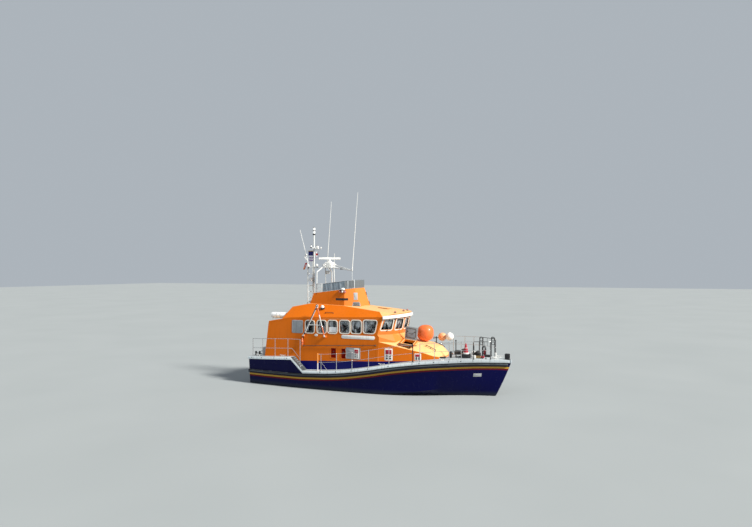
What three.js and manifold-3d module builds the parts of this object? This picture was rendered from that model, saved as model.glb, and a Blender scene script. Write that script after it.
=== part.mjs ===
// An all-weather rescue lifeboat of 14 m, afloat, in millimetres.
// +X is forward, +Y is to port and +Z is up. The origin is amidships, on the centreline,
// at the waterline. Starboard pieces are built first, and port ones are their mirror image.
import * as THREE from "three";
import { mergeVertices } from "three/addons/utils/BufferGeometryUtils.js";
import { ConvexGeometry } from "three/addons/geometries/ConvexGeometry.js";
import Module from "manifold-3d";

const wasm = await Module();
wasm.setup();

// Running and resting clearances
const GAP = 0.4;
const WALL = 60;
const ROUND_SIDES = 6;
// Cutting blocks reach this far past the boat, lengthwise, sideways and upwards
const FAR = 8000;
const WIDE = 3000;
const HIGH = 6000;

// Hull stations, from the transom to the stem head
const HULL_COLUMNS = ["x", "deckHalf", "deckZ", "chineHalf", "chineZ", "keelZ"];
const HULL_TABLE = [
  [-7130, 1950, 1500, 1820, -110, -600],
  [-6000, 2080, 1555, 1960, -120, -760],
  [-4250, 2190, 1640, 2060, -120, -850],
  [-3500, 2220, 960, 2080, -110, -860],
  [-2200, 2245, 1030, 2095, -90, -870],
  [-1000, 2260, 1150, 2090, -60, -870],
  [300, 2255, 1360, 2060, 0, -870],
  [1500, 2190, 1580, 1950, 90, -860],
  [3000, 1980, 1780, 1620, 270, -820],
  [4400, 1590, 1880, 1120, 470, -700],
  [5500, 1120, 1920, 640, 690, -480],
  [6250, 680, 1905, 300, 890, -180],
  [6800, 290, 1875, 110, 1180, 860],
  [7130, 70, 1850, 45, 1700, 1640],
];
const FAIR_FROM_X = -2200;
const FAIR_STEPS = 3;
const DECK_THICK = 60;
const DECK_BAND = { depth: 140, proud: 45 };
const HULL_SKIN = 80;
const SKIN_RISE = { chine: 0.8, keel: 1.2 };
const KEEL_HALF = 60;
const TRANSOM_BAND_DEEP = 80;
const INSIDE = { aftX: -7040, foreX: 6150 };
const STRAKE = { depth: 200, proud: 110, aftTop: 800, lowX: -3500 };
const KEEL_FIN = {
  half: 55, bottom: -1180, rootZ: -500, foreX: 3600, aftX: -6100, rake: 150, runOut: 900,
  knuckleX: 2000, knuckleZ: -1050,
};

// Machinery below the deck
const ENGINE = { aftX: -3300, foreX: -1600, y: 780, half: 400, bottomZ: -290, topZ: 660 };
const BEARER = { half: 250, bottomZ: -700 };
const SHAFT = {
  y: 950, radius: 35, bore: 37, propX: -5550, propZ: -930, tubeX: -3700, tubeZ: -560, reach: 2100,
};
const STERN_TUBE = { start: 1400, length: 1000, radius: 75 };
const BRACKET = { start: 150, length: 180, radius: 62 };
const STRUT = { half: 22, lowZ: -900, highZ: -470, lowX: [-5370, -5230], highX: [-5420, -5200] };
const PROP = {
  radius: 370, hub: 85, hubLength: 190, blades: 4, pitch: 35, thick: 16, coneLength: 70, coneEnd: 30,
};
const RUDDER = {
  x: -6350, y: 950, ahead: 170, astern: 440, topZ: -600, bottomZ: -1260, stock: 30, stockTopZ: -330,
  bore: 30.6, sides: 24,
};

// The house: a loft of sections, cut by the windscreen's facets and the leaning aft wall
const HOUSE_BASE = 900;
const HOUSE_COLUMNS = ["x", "kneeZ", "shoulderHalf", "shoulderZ", "crownZ"];
const HOUSE_TABLE = [
  [-6400, 3430, 1450, 3430, 3440],
  [-5120, 3658, 1450, 3633, 3643],
  [-4780, 3730, 1150, 4300, 4330],
  [-3700, 3790, 1085, 4500, 4530],
  [-1600, 3840, 1085, 4420, 4460],
  [600, 3910, 1400, 4180, 4260],
  [1950, 3955, 1150, 4010, 4080],
];
const AFT_WALL = { lowX: -6270, lowZ: 900, highX: -5925, highZ: 4000 };
// Windscreen corners at starboard, from the side to the centreline, at three levels
const SCREEN_TOP = { z: 3920, corners: [[890, 1700], [1440, 1160], [1665, 360]] };
const SCREEN_SILL = { z: 3000, corners: [[620, 1724], [1235, 1150], [1460, 350]] };
const SCREEN_FOOT = { z: 2640, corners: [[700, 1734], [1430, 1260], [1740, 400]] };
const ROOF_SPLIT_X = -5120;
const ROOF_EDGE = 100;

// Side windows: forward and aft ends at the top, the forward end at the foot, and heights
const WINDOW_COLUMNS = ["aftX", "foreX", "footForeX", "footZ", "topZ"];
const SIDE_WINDOWS = [
  [-3620, -3090, -3090, 2950, 3600],
  [-2900, -2370, -2370, 2965, 3620],
  [-2250, -1715, -1715, 2985, 3640],
  [-1550, -980, -980, 3010, 3665],
  [-880, -310, -310, 3030, 3690],
  [-170, 600, 450, 3060, 3720],
];
const WINDOW_ROUND = 110;
const SCREEN_PANE = { side: 75, footZ: 3110, topZ: 3790, round: 70 };
const GLASS = 8;
const GLASS_STRIP = [[-3760, 2900], [430, 2960], [600, 3760], [-3760, 3660]];
const GLASS_SCREEN = { aftX: 600, half: 1500, lap: 50 };
const DOOR = {
  half: 350, footZ: 1740, topZ: 3270, thick: 45, clear: 6, barrel: 14, barrelIn: 30, groove: 15,
};
const SOLE = { aftX: -5850, foreX: 560, half: 1698.5, bottomZ: 1640.4, thick: 50 };
const HELM = { aftX: 150, foreX: 520, half: 1400, crestX: 330, foreZ: 2780, crestZ: 2860, aftZ: 2640 };
const SEAT = { x: -650, y: -800, post: 60, half: 240, cushionZ: 400, cushionDeep: 120, backZ: 1250 };

// The foredeck trunk over the forward cabin
const TRUNK_COLUMNS = ["x", "edgeHalf", "edgeZ", "shoulderHalf", "shoulderZ", "crownZ"];
const TRUNK_TABLE = [
  [700, 1736, 2640, 800, 2800, 2860],
  [1900, 1560, 2370, 660, 2640, 2700],
  [2960, 1300, 2140, 580, 2490, 2550],
  [3450, 1150, 1980, 500, 2330, 2380],
  [3900, 950, 1890, 400, 1930, 1940],
];
const TRUNK_WALL = 50;
const HATCH = {
  aftX: 1710, foreX: 2390, innerY: -620, outerY: -1270, innerZ: 2735, outerZ: 2575, drop: 75,
};
const HATCH_LID = {
  thick: 45, rim: 45, clear: 6, hingeUp: 6, openAngle: 100, barrel: 12, barrelIn: 60,
  groove: 12.8, grooveRun: 100,
};
const TRUNK_INSIDE = { foreX: 3560, lowZ: 600 };
const COAMING_DEEP = 260;

// The upper steering position
const BRIDGE_BASE = { z: 4200, corners: [[-3800, 1080], [-1600, 1080], [-780, 640]] };
const BRIDGE_TOP = { z: [5070, 5300, 5350], corners: [[-3540, 960], [-1620, 1000], [-1180, 660]] };
const BRIDGE_WALL = 50;
const BRIDGE_WELL = { footZ: 4100, past: 80 };
const BRIDGE_LIP_Z = 4950;
const BRIDGE_GATE = { half: 300, footZ: 4700, aftX: -4500, foreX: -3200 };
const DODGER = { thick: 16, inset: 12, low: [5100, 5280, 5330], high: [5590, 5755, 5790], aftX: -2950 };
const CONSOLE = { aftX: -1750, foreX: -1420, half: 420, footZ: 4380, topZ: 5220, slope: [100, 120] };
const WHEEL = {
  radius: 190, rim: 14, x: -1850, y: -200, z: 5020, lean: 25, spokes: 3, spoke: 10, hub: 40,
  shaft: 15, shaftLength: 240, bore: 15.8, boreLength: 260,
};
const BROW = {
  proud: 105, into: 60, z: 3930, low: [3800, 3850, 3870], high: [3975, 4045, 4070], fall: 30, rise: 10,
  half: 1770, lap: 40,
};

// Mast, aerials and radar. Feet and heads of the straight tubes, and their radii
const MAST_TUBE_COLUMNS = ["foot", "head", "radius"];
const MAST_TUBES = [
  [[-3372, -930, 5000], [-3372, -905, 6250], 30],
  [[-3372, 930, 5000], [-3372, 905, 6250], 30],
  [[-3372, -912, 6235], [-3290, -410, 6490], 30],
  [[-3372, 912, 6235], [-3290, 410, 6490], 30],
  [[-2690, 0, 4400], [-2780, 0, 6480], 30],
  [[-3250, -60, 4400], [-3280, -60, 6480], 20],
  [[-4290, -300, 4400], [-4290, -300, 6830], 28],
  [[-4290, 300, 4400], [-4290, 300, 6830], 28],
  [[-4050, 0, 4400], [-4050, 0, 8400], 38],
  [[-4290, -330, 6500], [-4290, 330, 6500], 22],
  [[-4290, -310, 6130], [-4290, 310, 6130], 15],
  [[-4290, -310, 5790], [-4290, 310, 5790], 15],
  [[-4290, -310, 5450], [-4290, 310, 5450], 15],
  [[-4290, -310, 5110], [-4290, 310, 5110], 15],
  [[-4290, -310, 4770], [-4290, 310, 4770], 15],
  [[-4300, -300, 6500], [-3290, -400, 6490], 24],
  [[-4300, 300, 6500], [-3290, 400, 6490], 24],
  [[-4050, 0, 6500], [-4290, 0, 6500], 20],
  [[-3372, -915, 5585], [-3016, -975, 5597], 15],
  [[-3372, 915, 5585], [-3016, 975, 5597], 15],
  [[-3031, -948, 5105], [-3031, -972, 5600], 15],
  [[-3031, 948, 5105], [-3031, 972, 5600], 15],
  [[-2780, -200, 6490], [-1288, -722, 6330], 20],
  [[-2850, 60, 6660], [-1330, -705, 6335], 15],
  [[-1300, -703.5, 5290], [-1300, -703.5, 6330], 10],
  [[-3180, 420, 6490], [-3100, 700, 6495], 12],
  [[-3100, 700, 6480], [-3100, 700, 7310], 12],
  [[-3372, 905, 6250], [-3605, 750, 6495], 15],
  [[-3290, 400, 6490], [-3605, 750, 6495], 15],
  [[-3605, 750, 6480], [-3605, 750, 6511], 40],
  [[-4050, -330, 7610], [-4050, 330, 7610], 22],
  [[-4050, 0, 7500], [-3600, 0, 7540], 10],
];
const MAST_TABLE = { aftX: -3340, foreX: -2740, half: 430, bottomZ: 6470, topZ: 6510 };
const GEARBOX = { x: -3050, halfX: 230, half: 190, topZ: 6900, boreDeep: 130 };
const LANTERN = { x: -4050, lowZ: 8390, highZ: 8820, radius: 75 };
const SCANNER = {
  length: 1240, half: 55, topHalf: 38.5, lowZ: 6935, highZ: 7060, hub: 60, spindle: 20, spindleDeep: 120,
  bore: 21.4, turn: 35,
};
const AERIAL_COLUMNS = ["name", "foot", "head", "footRadius", "headRadius"];
const AERIALS = [
  ["whip_aerial_forward", [-1288, -722, 6351], [-955, -722, 10559], 22, 11],
  ["whip_aerial_middle", [-3605, 750, 6513.2], [-3324, 750, 10322], 22, 11],
  ["whip_aerial_aft", [-4290, -300, 6835.2], [-4800, -300, 8650], 19, 10],
];

// Deck gear
const RAIL_RADIUS = 17;
const RAIL_HEIGHT = 890;
const RAIL_TOP = 876;
const RAIL_MIDDLE = 450;
const RAIL_BAR = 9;
const GATE = { postX: -2620, radius: 26, braceZ: 470, braceX: -2030 };
const SIDE_POSTS = [-2420, -1500, -600, 330, 1430, 2650];
const BOW_POSTS = [3000, 3700, 4400, 4950, 5500, 6250];
const RAIL_INSET = 60;
const AFT_POSTS = [-6900, -6200, -5350, -4500];
const AFT_RAIL = {
  height: 1000, middle: 470, top: 985, inset: 20, bar: 13.6, endX: -3720, kneeX: -4220, braceZ: 1575,
};
const LIFERAFT = {
  aftX: -6170, foreX: -5170, y: -1080, z: 3795, radius: 165, footIn: 200, footHalf: 30, footDeep: 300,
};
const DAVIT = {
  aftX: -3710, foreX: -2410, headX: -2850, y: -1840, footZ: 2790, headZ: 4430, tube: 25, pin: 11, bore: 11.8,
  boss: 28, bossHalf: 46, pinHalf: 72, crossUp: 600, cross: 17.5, leanIn: 0.96,
  headHalf: [60, 40, 60],
};
const EAR = { near: 51, far: 67, rootY: -1700, rootHalf: 70, tipHalf: 24, past: 22, wallY: -1720 };
const BOLLARD = {
  x: 4700, baseX: 160, baseY: 220, base: 25, postY: 110, post: 62, height: 380, barZ: 270, barHalf: 210,
  bar: 32,
};
const WINDLASS = {
  x: 5450, aft: 170, fore: 150, half: 150, height: 190, drumHalf: 260, drumZ: 210, drum: 85,
};
const FAIRLEAD = {
  aftX: 6860, foreX: 7080, half: 130, throat: 70, lipZ: 270, crestZ: 290, throatZ: 90, foot: 40,
};

const paint = (color, roughness = 0.45, metalness = 0) =>
  new THREE.MeshStandardMaterial({ color, roughness, metalness });
const NAVY = paint(0x10134a);
const ORANGE = paint(0xe0700c);
const BRIGHT_ORANGE = paint(0xf06a1e, 0.6);
const DECK_GREY = paint(0xb4bcc0, 0.8);
const WHITE = paint(0xe8eaea, 0.4);
const BLACK_RUBBER = paint(0x17181a, 0.85);
const GREY_CANVAS = paint(0x8d979c, 0.9);
const STEEL = paint(0xb9bdc0, 0.3, 0.9);
const BRONZE = paint(0x9a7b3a, 0.4, 0.9);
const DARK_METAL = paint(0x2a2d31, 0.6, 0.5);
const TINTED_GLASS = paint(0x1c2a30, 0.1);
const FLAG_NAVY = paint(0x15204f, 0.9);
const FLAG_WHITE = paint(0xeeeeea, 0.9);
const FLAG_RED = paint(0xc02a22, 0.9);

const named = (columns, rows) =>
  rows.map((row) => Object.fromEntries(columns.map((column, i) => [column, row[i]])));

// Adds fair stations between a table's rows forward of fromX, on a smooth curve through each column
function faired(rows, fromX, steps) {
  const slope = (i, column) => {
    const [a, b] = [rows[Math.max(i - 1, 0)], rows[Math.min(i + 1, rows.length - 1)]];
    return (b[column] - a[column]) / (b.x - a.x);
  };
  return rows.flatMap((row, i) => {
    const next = rows[i + 1];
    if (!next || row.x < fromX) return [row];
    const span = next.x - row.x;
    return Array.from({ length: steps }, (_, k) => {
      const t = k / steps;
      const station = {};
      Object.keys(row).forEach((column) => {
        const [from, to] = [slope(i, column) * span, slope(i + 1, column) * span];
        const rise = next[column] - row[column];
        const curve = t * rise + t * (1 - t) * ((1 - t) * (from - rise) + t * (rise - to));
        station[column] = row[column] + curve;
      });
      return station;
    });
  });
}
const HULL = faired(named(HULL_COLUMNS, HULL_TABLE), FAIR_FROM_X, FAIR_STEPS);
const HOUSE = named(HOUSE_COLUMNS, HOUSE_TABLE);
const TRUNK = named(TRUNK_COLUMNS, TRUNK_TABLE);

// Value of a table's column at x, on the straight line between its rows
function along(table, column, x) {
  let i = 1;
  while (i < table.length - 1 && table[i].x < x) i += 1;
  const [a, b] = [table[i - 1], table[i]];
  return a[column] + ((b[column] - a[column]) * (x - a.x)) / (b.x - a.x);
}
const deckZ = (x) => along(HULL, "deckZ", x);
const houseSideY = (z) => 1780 - ((z - HOUSE_BASE) * 80) / 3000;

// Solids
function solid(geometry) {
  const bare = geometry.index ? geometry.toNonIndexed() : geometry.clone();
  bare.deleteAttribute("normal");
  bare.deleteAttribute("uv");
  const merged = mergeVertices(bare, 1e-3);
  return new wasm.Manifold(
    new wasm.Mesh({
      numProp: 3,
      vertProperties: merged.attributes.position.array,
      triVerts: new Uint32Array(merged.index.array),
    }),
  );
}

function geometryOf(made) {
  const mesh = made.getMesh();
  const geometry = new THREE.BufferGeometry();
  geometry.setAttribute("position", new THREE.BufferAttribute(new Float32Array(mesh.vertProperties), 3));
  geometry.setIndex(new THREE.BufferAttribute(new Uint32Array(mesh.triVerts), 1));
  return geometry;
}

const join = (...solids) => solids.reduce((all, next) => all.add(next));
const cut = (body, ...tools) => tools.reduce((left, tool) => left.subtract(tool), body);

function box(x0, x1, y0, y1, z0, z1) {
  const geometry = new THREE.BoxGeometry(x1 - x0, y1 - y0, z1 - z0);
  return solid(geometry.translate((x0 + x1) / 2, (y0 + y1) / 2, (z0 + z1) / 2));
}

const hullOf = (points) => solid(new ConvexGeometry(points.map((p) => new THREE.Vector3(...p))));

function flatShape(points, round = 0) {
  const shape = new THREE.Shape();
  if (!round) return new THREE.Shape(points.map((p) => new THREE.Vector2(...p)));
  const corners = points.map((p) => new THREE.Vector2(...p));
  corners.forEach((corner, i) => {
    const before = corners.at(i - 1).clone().sub(corner).setLength(round).add(corner);
    const after = corners[(i + 1) % corners.length].clone().sub(corner).setLength(round).add(corner);
    if (i) shape.lineTo(before.x, before.y);
    else shape.moveTo(before.x, before.y);
    shape.quadraticCurveTo(corner.x, corner.y, after.x, after.y);
  });
  shape.closePath();
  return shape;
}

function prism(points, depth, matrix, round = 0) {
  const options = { depth, bevelEnabled: false, curveSegments: 3 };
  return solid(new THREE.ExtrudeGeometry(flatShape(points, round), options).applyMatrix4(matrix));
}

// Outlines in the XZ plane drawn through from y0 to y1, in YZ from x0 to x1, and in XY from z0 to z1
function prismXZ(points, y0, y1, round = 0) {
  const place = new THREE.Matrix4().set(1, 0, 0, 0, 0, 0, -1, y1, 0, 1, 0, 0, 0, 0, 0, 1);
  return prism(points, y1 - y0, place, round);
}
function prismYZ(points, x0, x1) {
  const place = new THREE.Matrix4().set(0, 0, 1, x0, 1, 0, 0, 0, 0, 1, 0, 0, 0, 0, 0, 1);
  return prism(points, x1 - x0, place);
}
const prismXY = (points, z0, z1) => prism(points, z1 - z0, new THREE.Matrix4().makeTranslation(0, 0, z0));

// A closed body through rings of equal count, with flat ends. Each ring is a list of [x, y, z].
function loft(rings) {
  const count = rings[0].length;
  const index = [];
  rings.slice(1).forEach((_, r) => {
    for (let i = 0; i < count; i += 1) {
      const [a, b] = [r * count + i, r * count + ((i + 1) % count)];
      // The diagonals of the port half mirror those of the starboard half
      if (i < count / 2) index.push(a, b, a + count, b, b + count, a + count);
      else index.push(a, b, b + count, a, b + count, a + count);
    }
  });
  const cap = (r, sameWay) => {
    const flat = rings[r].map(([, y, z]) => new THREE.Vector2(y, z));
    const turns = THREE.ShapeUtils.area(flat) > 0;
    for (const [a, b, c] of THREE.ShapeUtils.triangulateShape(flat, [])) {
      const faceTurns = THREE.ShapeUtils.area([flat[a], flat[b], flat[c]]) > 0;
      const face = (faceTurns === turns) === sameWay ? [a, b, c] : [a, c, b];
      index.push(...face.map((i) => r * count + i));
    }
  };
  cap(0, false);
  cap(rings.length - 1, true);
  const made = (order) => {
    const geometry = new THREE.BufferGeometry();
    geometry.setAttribute("position", new THREE.Float32BufferAttribute(rings.flat(2), 3));
    return solid(geometry.setIndex(order));
  };
  const body = made(index);
  return body.volume() > 0 ? body : made(index.toReversed());
}

// A ring from the points of its port half, listed from the centreline's side outwards
const both = (half) => [...half.map(([x, y, z]) => [x, -y, z]), ...half.toReversed()];

function bar(from, to, radius, sides = ROUND_SIDES, headRadius = radius) {
  const [a, b] = [new THREE.Vector3(...from), new THREE.Vector3(...to)];
  const span = b.clone().sub(a);
  const geometry = new THREE.CylinderGeometry(headRadius, radius, span.length(), sides);
  const up = new THREE.Vector3(0, 1, 0);
  const turn = new THREE.Quaternion().setFromUnitVectors(up, span.clone().normalize());
  const middle = a.add(b).multiplyScalar(0.5);
  return solid(geometry.applyQuaternion(turn).translate(middle.x, middle.y, middle.z));
}

// Plan corners [x, half breadth] from the side to the centreline, with the outline moved in by inset
function insetCorners(corners, inset, aftX = -9000) {
  const outline = [[aftX, corners[0][1]], ...corners, [corners.at(-1)[0], -corners.at(-1)[1]]];
  const line = ([ax, ay], [bx, by]) => {
    const length = Math.hypot(bx - ax, by - ay);
    const normal = [(by - ay) / length, (ax - bx) / length];
    return { normal, reach: normal[0] * ax + normal[1] * ay + inset };
  };
  return corners.map(([x, y], i) => {
    const [a, b] = [line(outline[i], outline[i + 1]), line(outline[i + 1], outline[i + 2])];
    const det = a.normal[0] * b.normal[1] - a.normal[1] * b.normal[0];
    if (Math.abs(det) < 1e-6) return [x + a.normal[0] * inset, y + a.normal[1] * inset];
    return [
      (a.reach * b.normal[1] - b.reach * a.normal[1]) / det,
      (a.normal[0] * b.reach - b.normal[0] * a.reach) / det,
    ];
  });
}

const group = new THREE.Group();
function place(name, made, material, parent = group) {
  const geometry = made.isBufferGeometry ? made : geometryOf(made);
  const mesh = new THREE.Mesh(geometry, material);
  mesh.name = name;
  parent.add(mesh);
  return mesh;
}
function placePair(name, made, material) {
  place(name + "_starboard", made, material);
  place(name + "_port", made, material).scale.y = -1;
}

// Hull
function hullRing(row, skin = 0, top = row.deckZ - DECK_THICK - GAP) {
  return both([
    [row.x, row.deckHalf - skin, top],
    [row.x, row.chineHalf - skin, row.chineZ + skin * SKIN_RISE.chine],
    [row.x, Math.min(KEEL_HALF, row.chineHalf / 2), row.keelZ + skin * SKIN_RISE.keel],
  ]);
}
const hullOutside = (grow = 0) =>
  loft(HULL.map((row) => hullRing(row, -grow, row.deckZ - DECK_THICK - GAP)));

function hullAt(x) {
  const row = { x };
  HULL_COLUMNS.slice(1).forEach((column) => (row[column] = along(HULL, column, x)));
  return row;
}

const shaftDirection = new THREE.Vector3(
  SHAFT.tubeX - SHAFT.propX, 0, SHAFT.tubeZ - SHAFT.propZ,
).normalize();
const onShaft = (distance) => [
  SHAFT.propX + shaftDirection.x * distance, -SHAFT.y, SHAFT.propZ + shaftDirection.z * distance,
];

function makeHull() {
  const outside = hullOutside();
  const within = HULL.map((row) => row.x).filter((x) => x > INSIDE.aftX && x < INSIDE.foreX);
  const insideStations = [INSIDE.aftX, ...within, INSIDE.foreX];
  const inside = loft(insideStations.map((x) => hullRing(hullAt(x), HULL_SKIN, deckZ(x) + DECK_THICK)));
  let hull = cut(outside, inside);
  const bearers = [-1, 1].map((side) =>
    box(
      ENGINE.aftX, ENGINE.foreX, side * ENGINE.y - BEARER.half, side * ENGINE.y + BEARER.half,
      BEARER.bottomZ, ENGINE.bottomZ - GAP,
    ),
  );
  hull = join(hull, join(...bearers).intersect(outside));
  const { half, bottom, rootZ, foreX, aftX, rake, runOut, knuckleX, knuckleZ } = KEEL_FIN;
  const fin = prismXZ(
    [[foreX + runOut, rootZ], [foreX, knuckleZ], [knuckleX, bottom], [aftX, bottom], [aftX - rake, rootZ]],
    -half, half,
  );
  hull = join(hull, cut(fin, inside));
  for (const side of [1, -1]) {
    const sided = ([x, y, z]) => [x, y * side, z];
    const run = (from, to, radius, sides) => bar(sided(onShaft(from)), sided(onShaft(to)), radius, sides);
    const barrel = run(BRACKET.start, BRACKET.start + BRACKET.length, BRACKET.radius, 12);
    const corners = [...STRUT.lowX.map((x) => [x, STRUT.lowZ]), ...STRUT.highX.map((x) => [x, STRUT.highZ])];
    const strut = hullOf(
      corners.flatMap(([x, z]) => [-1, 1].map((face) => [x, side * -SHAFT.y + face * STRUT.half, z])),
    );
    const tubeEnd = STERN_TUBE.start + STERN_TUBE.length;
    const tube = cut(run(STERN_TUBE.start, tubeEnd, STERN_TUBE.radius, 12), inside);
    hull = join(hull, barrel, strut, tube);
    const trunk = [RUDDER.x, side * RUDDER.y];
    hull = cut(hull, run(-50, SHAFT.reach + 30, SHAFT.bore, 12));
    hull = cut(hull, bar([...trunk, RUDDER.topZ], [...trunk, 0], RUDDER.bore, RUDDER.sides));
  }
  // The deck's band wraps over the transom's top edge
  const stern = HULL[0];
  return cut(
    hull, box(-FAR, stern.x + TRANSOM_BAND_DEEP, -WIDE, WIDE, stern.deckZ - DECK_BAND.depth - GAP, HIGH),
  );
}
place("hull", makeHull(), NAVY);

// Deck: a plate with a band down over the hull's edge, closed at the transom and the stem
function makeDeck() {
  const { depth, proud } = DECK_BAND;
  const ring = (row) =>
    both([
      [row.x, row.deckHalf + GAP, row.deckZ - DECK_THICK],
      [row.x, row.deckHalf + GAP, row.deckZ - depth],
      [row.x, row.deckHalf + proud, row.deckZ - depth],
      [row.x, row.deckHalf + proud, row.deckZ],
    ]);
  const plate = loft(HULL.map(ring));
  const [stern, bow] = [HULL[0], HULL.at(-1)];
  const [sternHalf, bowHalf] = [stern.deckHalf + proud, bow.deckHalf + proud];
  const transomBand = box(
    stern.x - proud, stern.x + TRANSOM_BAND_DEEP - GAP, -sternHalf, sternHalf,
    stern.deckZ - depth, stern.deckZ,
  );
  const bowBand = box(bow.x + GAP, bow.x + proud, -bowHalf, bowHalf, bow.deckZ - depth, bow.deckZ);
  const bowPlate = box(
    bow.x - 50, bow.x + proud, -KEEL_HALF, KEEL_HALF, bow.deckZ - DECK_THICK + 10, bow.deckZ - 2,
  );
  return join(plate, transomBand, bowBand, bowPlate);
}
place("deck", makeDeck(), DECK_GREY);

// Rubbing strake: at starboard, under the deck's band forward and level along the raised quarter
function makeStrake() {
  const topAt = (row) => (row.x < STRAKE.lowX ? STRAKE.aftTop : row.deckZ - DECK_BAND.depth - GAP);
  const rings = HULL.slice(0, -1).map((row) => {
    const top = topAt(row);
    const flare = (row.deckHalf - row.chineHalf) / (row.deckZ - row.chineZ);
    const reach = (z) => row.chineHalf + flare * (z - row.chineZ);
    const low = top - STRAKE.depth;
    return [
      [row.x, -reach(top) + 60, top],
      [row.x, -reach(top) - STRAKE.proud, top - 25],
      [row.x, -reach(low) - STRAKE.proud - 15, low + 35],
      [row.x, -reach(low) + 60, low],
    ];
  });
  return cut(loft(rings), hullOutside(GAP * 2), box(-FAR, FAR, -KEEL_HALF, WIDE, -WIDE, WIDE));
}
placePair("rubbing_strake", makeStrake(), BLACK_RUBBER);

// Engines, one plain block each
const [engineOuter, engineInner] = [-1, 1].map((side) => -ENGINE.y + side * ENGINE.half);
placePair(
  "engine",
  box(ENGINE.aftX, ENGINE.foreX, engineOuter, engineInner, ENGINE.bottomZ, ENGINE.topZ),
  DARK_METAL,
);

// Propellers on their shafts
function makePropeller() {
  const blade = new THREE.Shape();
  blade.moveTo(-45, 60);
  blade.quadraticCurveTo(-190, PROP.radius * 0.75, -40, PROP.radius);
  blade.quadraticCurveTo(150, PROP.radius * 0.9, 60, 60);
  const options = { depth: PROP.thick, bevelEnabled: false, curveSegments: 5 };
  const hubEnd = -PROP.hubLength / 2;
  const parts = [bar([hubEnd, 0, 0], [-hubEnd, 0, 0], PROP.hub, 12)];
  parts.push(bar([hubEnd - PROP.coneLength, 0, 0], [hubEnd + 5, 0, 0], PROP.coneEnd, 12, PROP.hub - 5));
  parts.push(bar([0, 0, 0], [SHAFT.reach, 0, 0], SHAFT.radius, 12));
  for (let i = 0; i < PROP.blades; i += 1) {
    const geometry = new THREE.ExtrudeGeometry(blade, options).translate(0, 0, -PROP.thick / 2);
    geometry.rotateY((PROP.pitch * Math.PI) / 180).rotateX((i * 2 * Math.PI) / PROP.blades + Math.PI / 4);
    parts.push(solid(geometry));
  }
  const tilt = Math.atan2(shaftDirection.z, shaftDirection.x);
  return geometryOf(join(...parts)).rotateY(-tilt).translate(SHAFT.propX, -SHAFT.y, SHAFT.propZ);
}
placePair("propeller", makePropeller(), BRONZE);

// Rudders
function makeRudder() {
  const side = [[60, 38], [-120, 34], [-RUDDER.astern, 6]];
  const plan = [[RUDDER.ahead, 0], ...side, ...side.toReversed().map(([x, y]) => [x, -y])];
  const blade = prismXY(plan, RUDDER.bottomZ, RUDDER.topZ);
  const stock = bar([0, 0, RUDDER.topZ - 100], [0, 0, RUDDER.stockTopZ], RUDDER.stock, RUDDER.sides);
  return geometryOf(join(blade, stock)).translate(RUDDER.x, -RUDDER.y, 0);
}
placePair("rudder", makeRudder(), BRONZE);

// A ring's point on the centreline is listed once, though both halves have it
const firstOfItsPlace = (p, i, all) => !all.slice(0, i).some((q) => q[1] === p[1] && q[2] === p[2]);

// Trunk over the forward cabin, with the hatch's coaming
function trunkSolid(inset, lowZ) {
  const ring = (row) =>
    both([
      [row.x, 0, row.crownZ - inset],
      [row.x, row.shoulderHalf - inset * 0.3, row.shoulderZ - inset],
      [row.x, row.edgeHalf - inset, row.edgeZ - inset * 0.7],
      [row.x, row.edgeHalf + 20 - inset, lowZ],
    ]).filter(firstOfItsPlace);
  return loft(TRUNK.map(ring));
}
const deckLine = [
  ...HULL.map((row) => [row.x, row.deckZ + GAP]), [FAR, HULL.at(-1).deckZ + GAP], [FAR, -WIDE], [-FAR, -WIDE],
  [-FAR, HULL[0].deckZ + GAP],
];
const underDeck = prismXZ(deckLine, -WIDE, WIDE);

const hatchFall = HATCH.drop / (HATCH.foreX - HATCH.aftX);
const hatchTopZ = (x, y) => {
  const across = (y - HATCH.outerY) / (HATCH.innerY - HATCH.outerY);
  return HATCH.outerZ + (HATCH.innerZ - HATCH.outerZ) * across - hatchFall * (x - HATCH.aftX);
};
const hatchPlate = (grow, lowLift, highLift) =>
  hullOf(
    [[HATCH.aftX - grow, HATCH.innerY + grow], [HATCH.foreX + grow, HATCH.innerY + grow],
      [HATCH.foreX + grow, HATCH.outerY - grow], [HATCH.aftX - grow, HATCH.outerY - grow],
    ].flatMap(([x, y]) => [[x, y, hatchTopZ(x, y) + lowLift], [x, y, hatchTopZ(x, y) + highLift]]),
  );
const hingeLift = HATCH_LID.clear + HATCH_LID.hingeUp;
const onHatchHinge = (x) => [x, HATCH.innerY, hatchTopZ(x, HATCH.innerY) + hingeLift];
const hatchHinge = [HATCH.aftX, HATCH.foreX].map(onHatchHinge);

function makeTrunk() {
  const outside = cut(trunkSolid(0, HOUSE_BASE), box(-FAR, TRUNK[0].x + GAP, -WIDE, WIDE, 0, HIGH));
  const ahead = box(TRUNK_INSIDE.foreX, FAR, -WIDE, WIDE, 0, HIGH);
  const inside = cut(trunkSolid(TRUNK_WALL, TRUNK_INSIDE.lowZ), ahead);
  const coaming = hatchPlate(0, -COAMING_DEEP, 0);
  const groove = bar(
    onHatchHinge(HATCH.aftX - HATCH_LID.grooveRun), onHatchHinge(HATCH.foreX + HATCH_LID.grooveRun),
    HATCH_LID.groove, 16,
  );
  const trunk = join(cut(outside, inside), cut(coaming, inside));
  return cut(trunk, hatchPlate(-HATCH_LID.rim, -HOUSE_BASE, HATCH_LID.rim), groove, underDeck);
}
place("foredeck_trunk", makeTrunk(), ORANGE);

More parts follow.
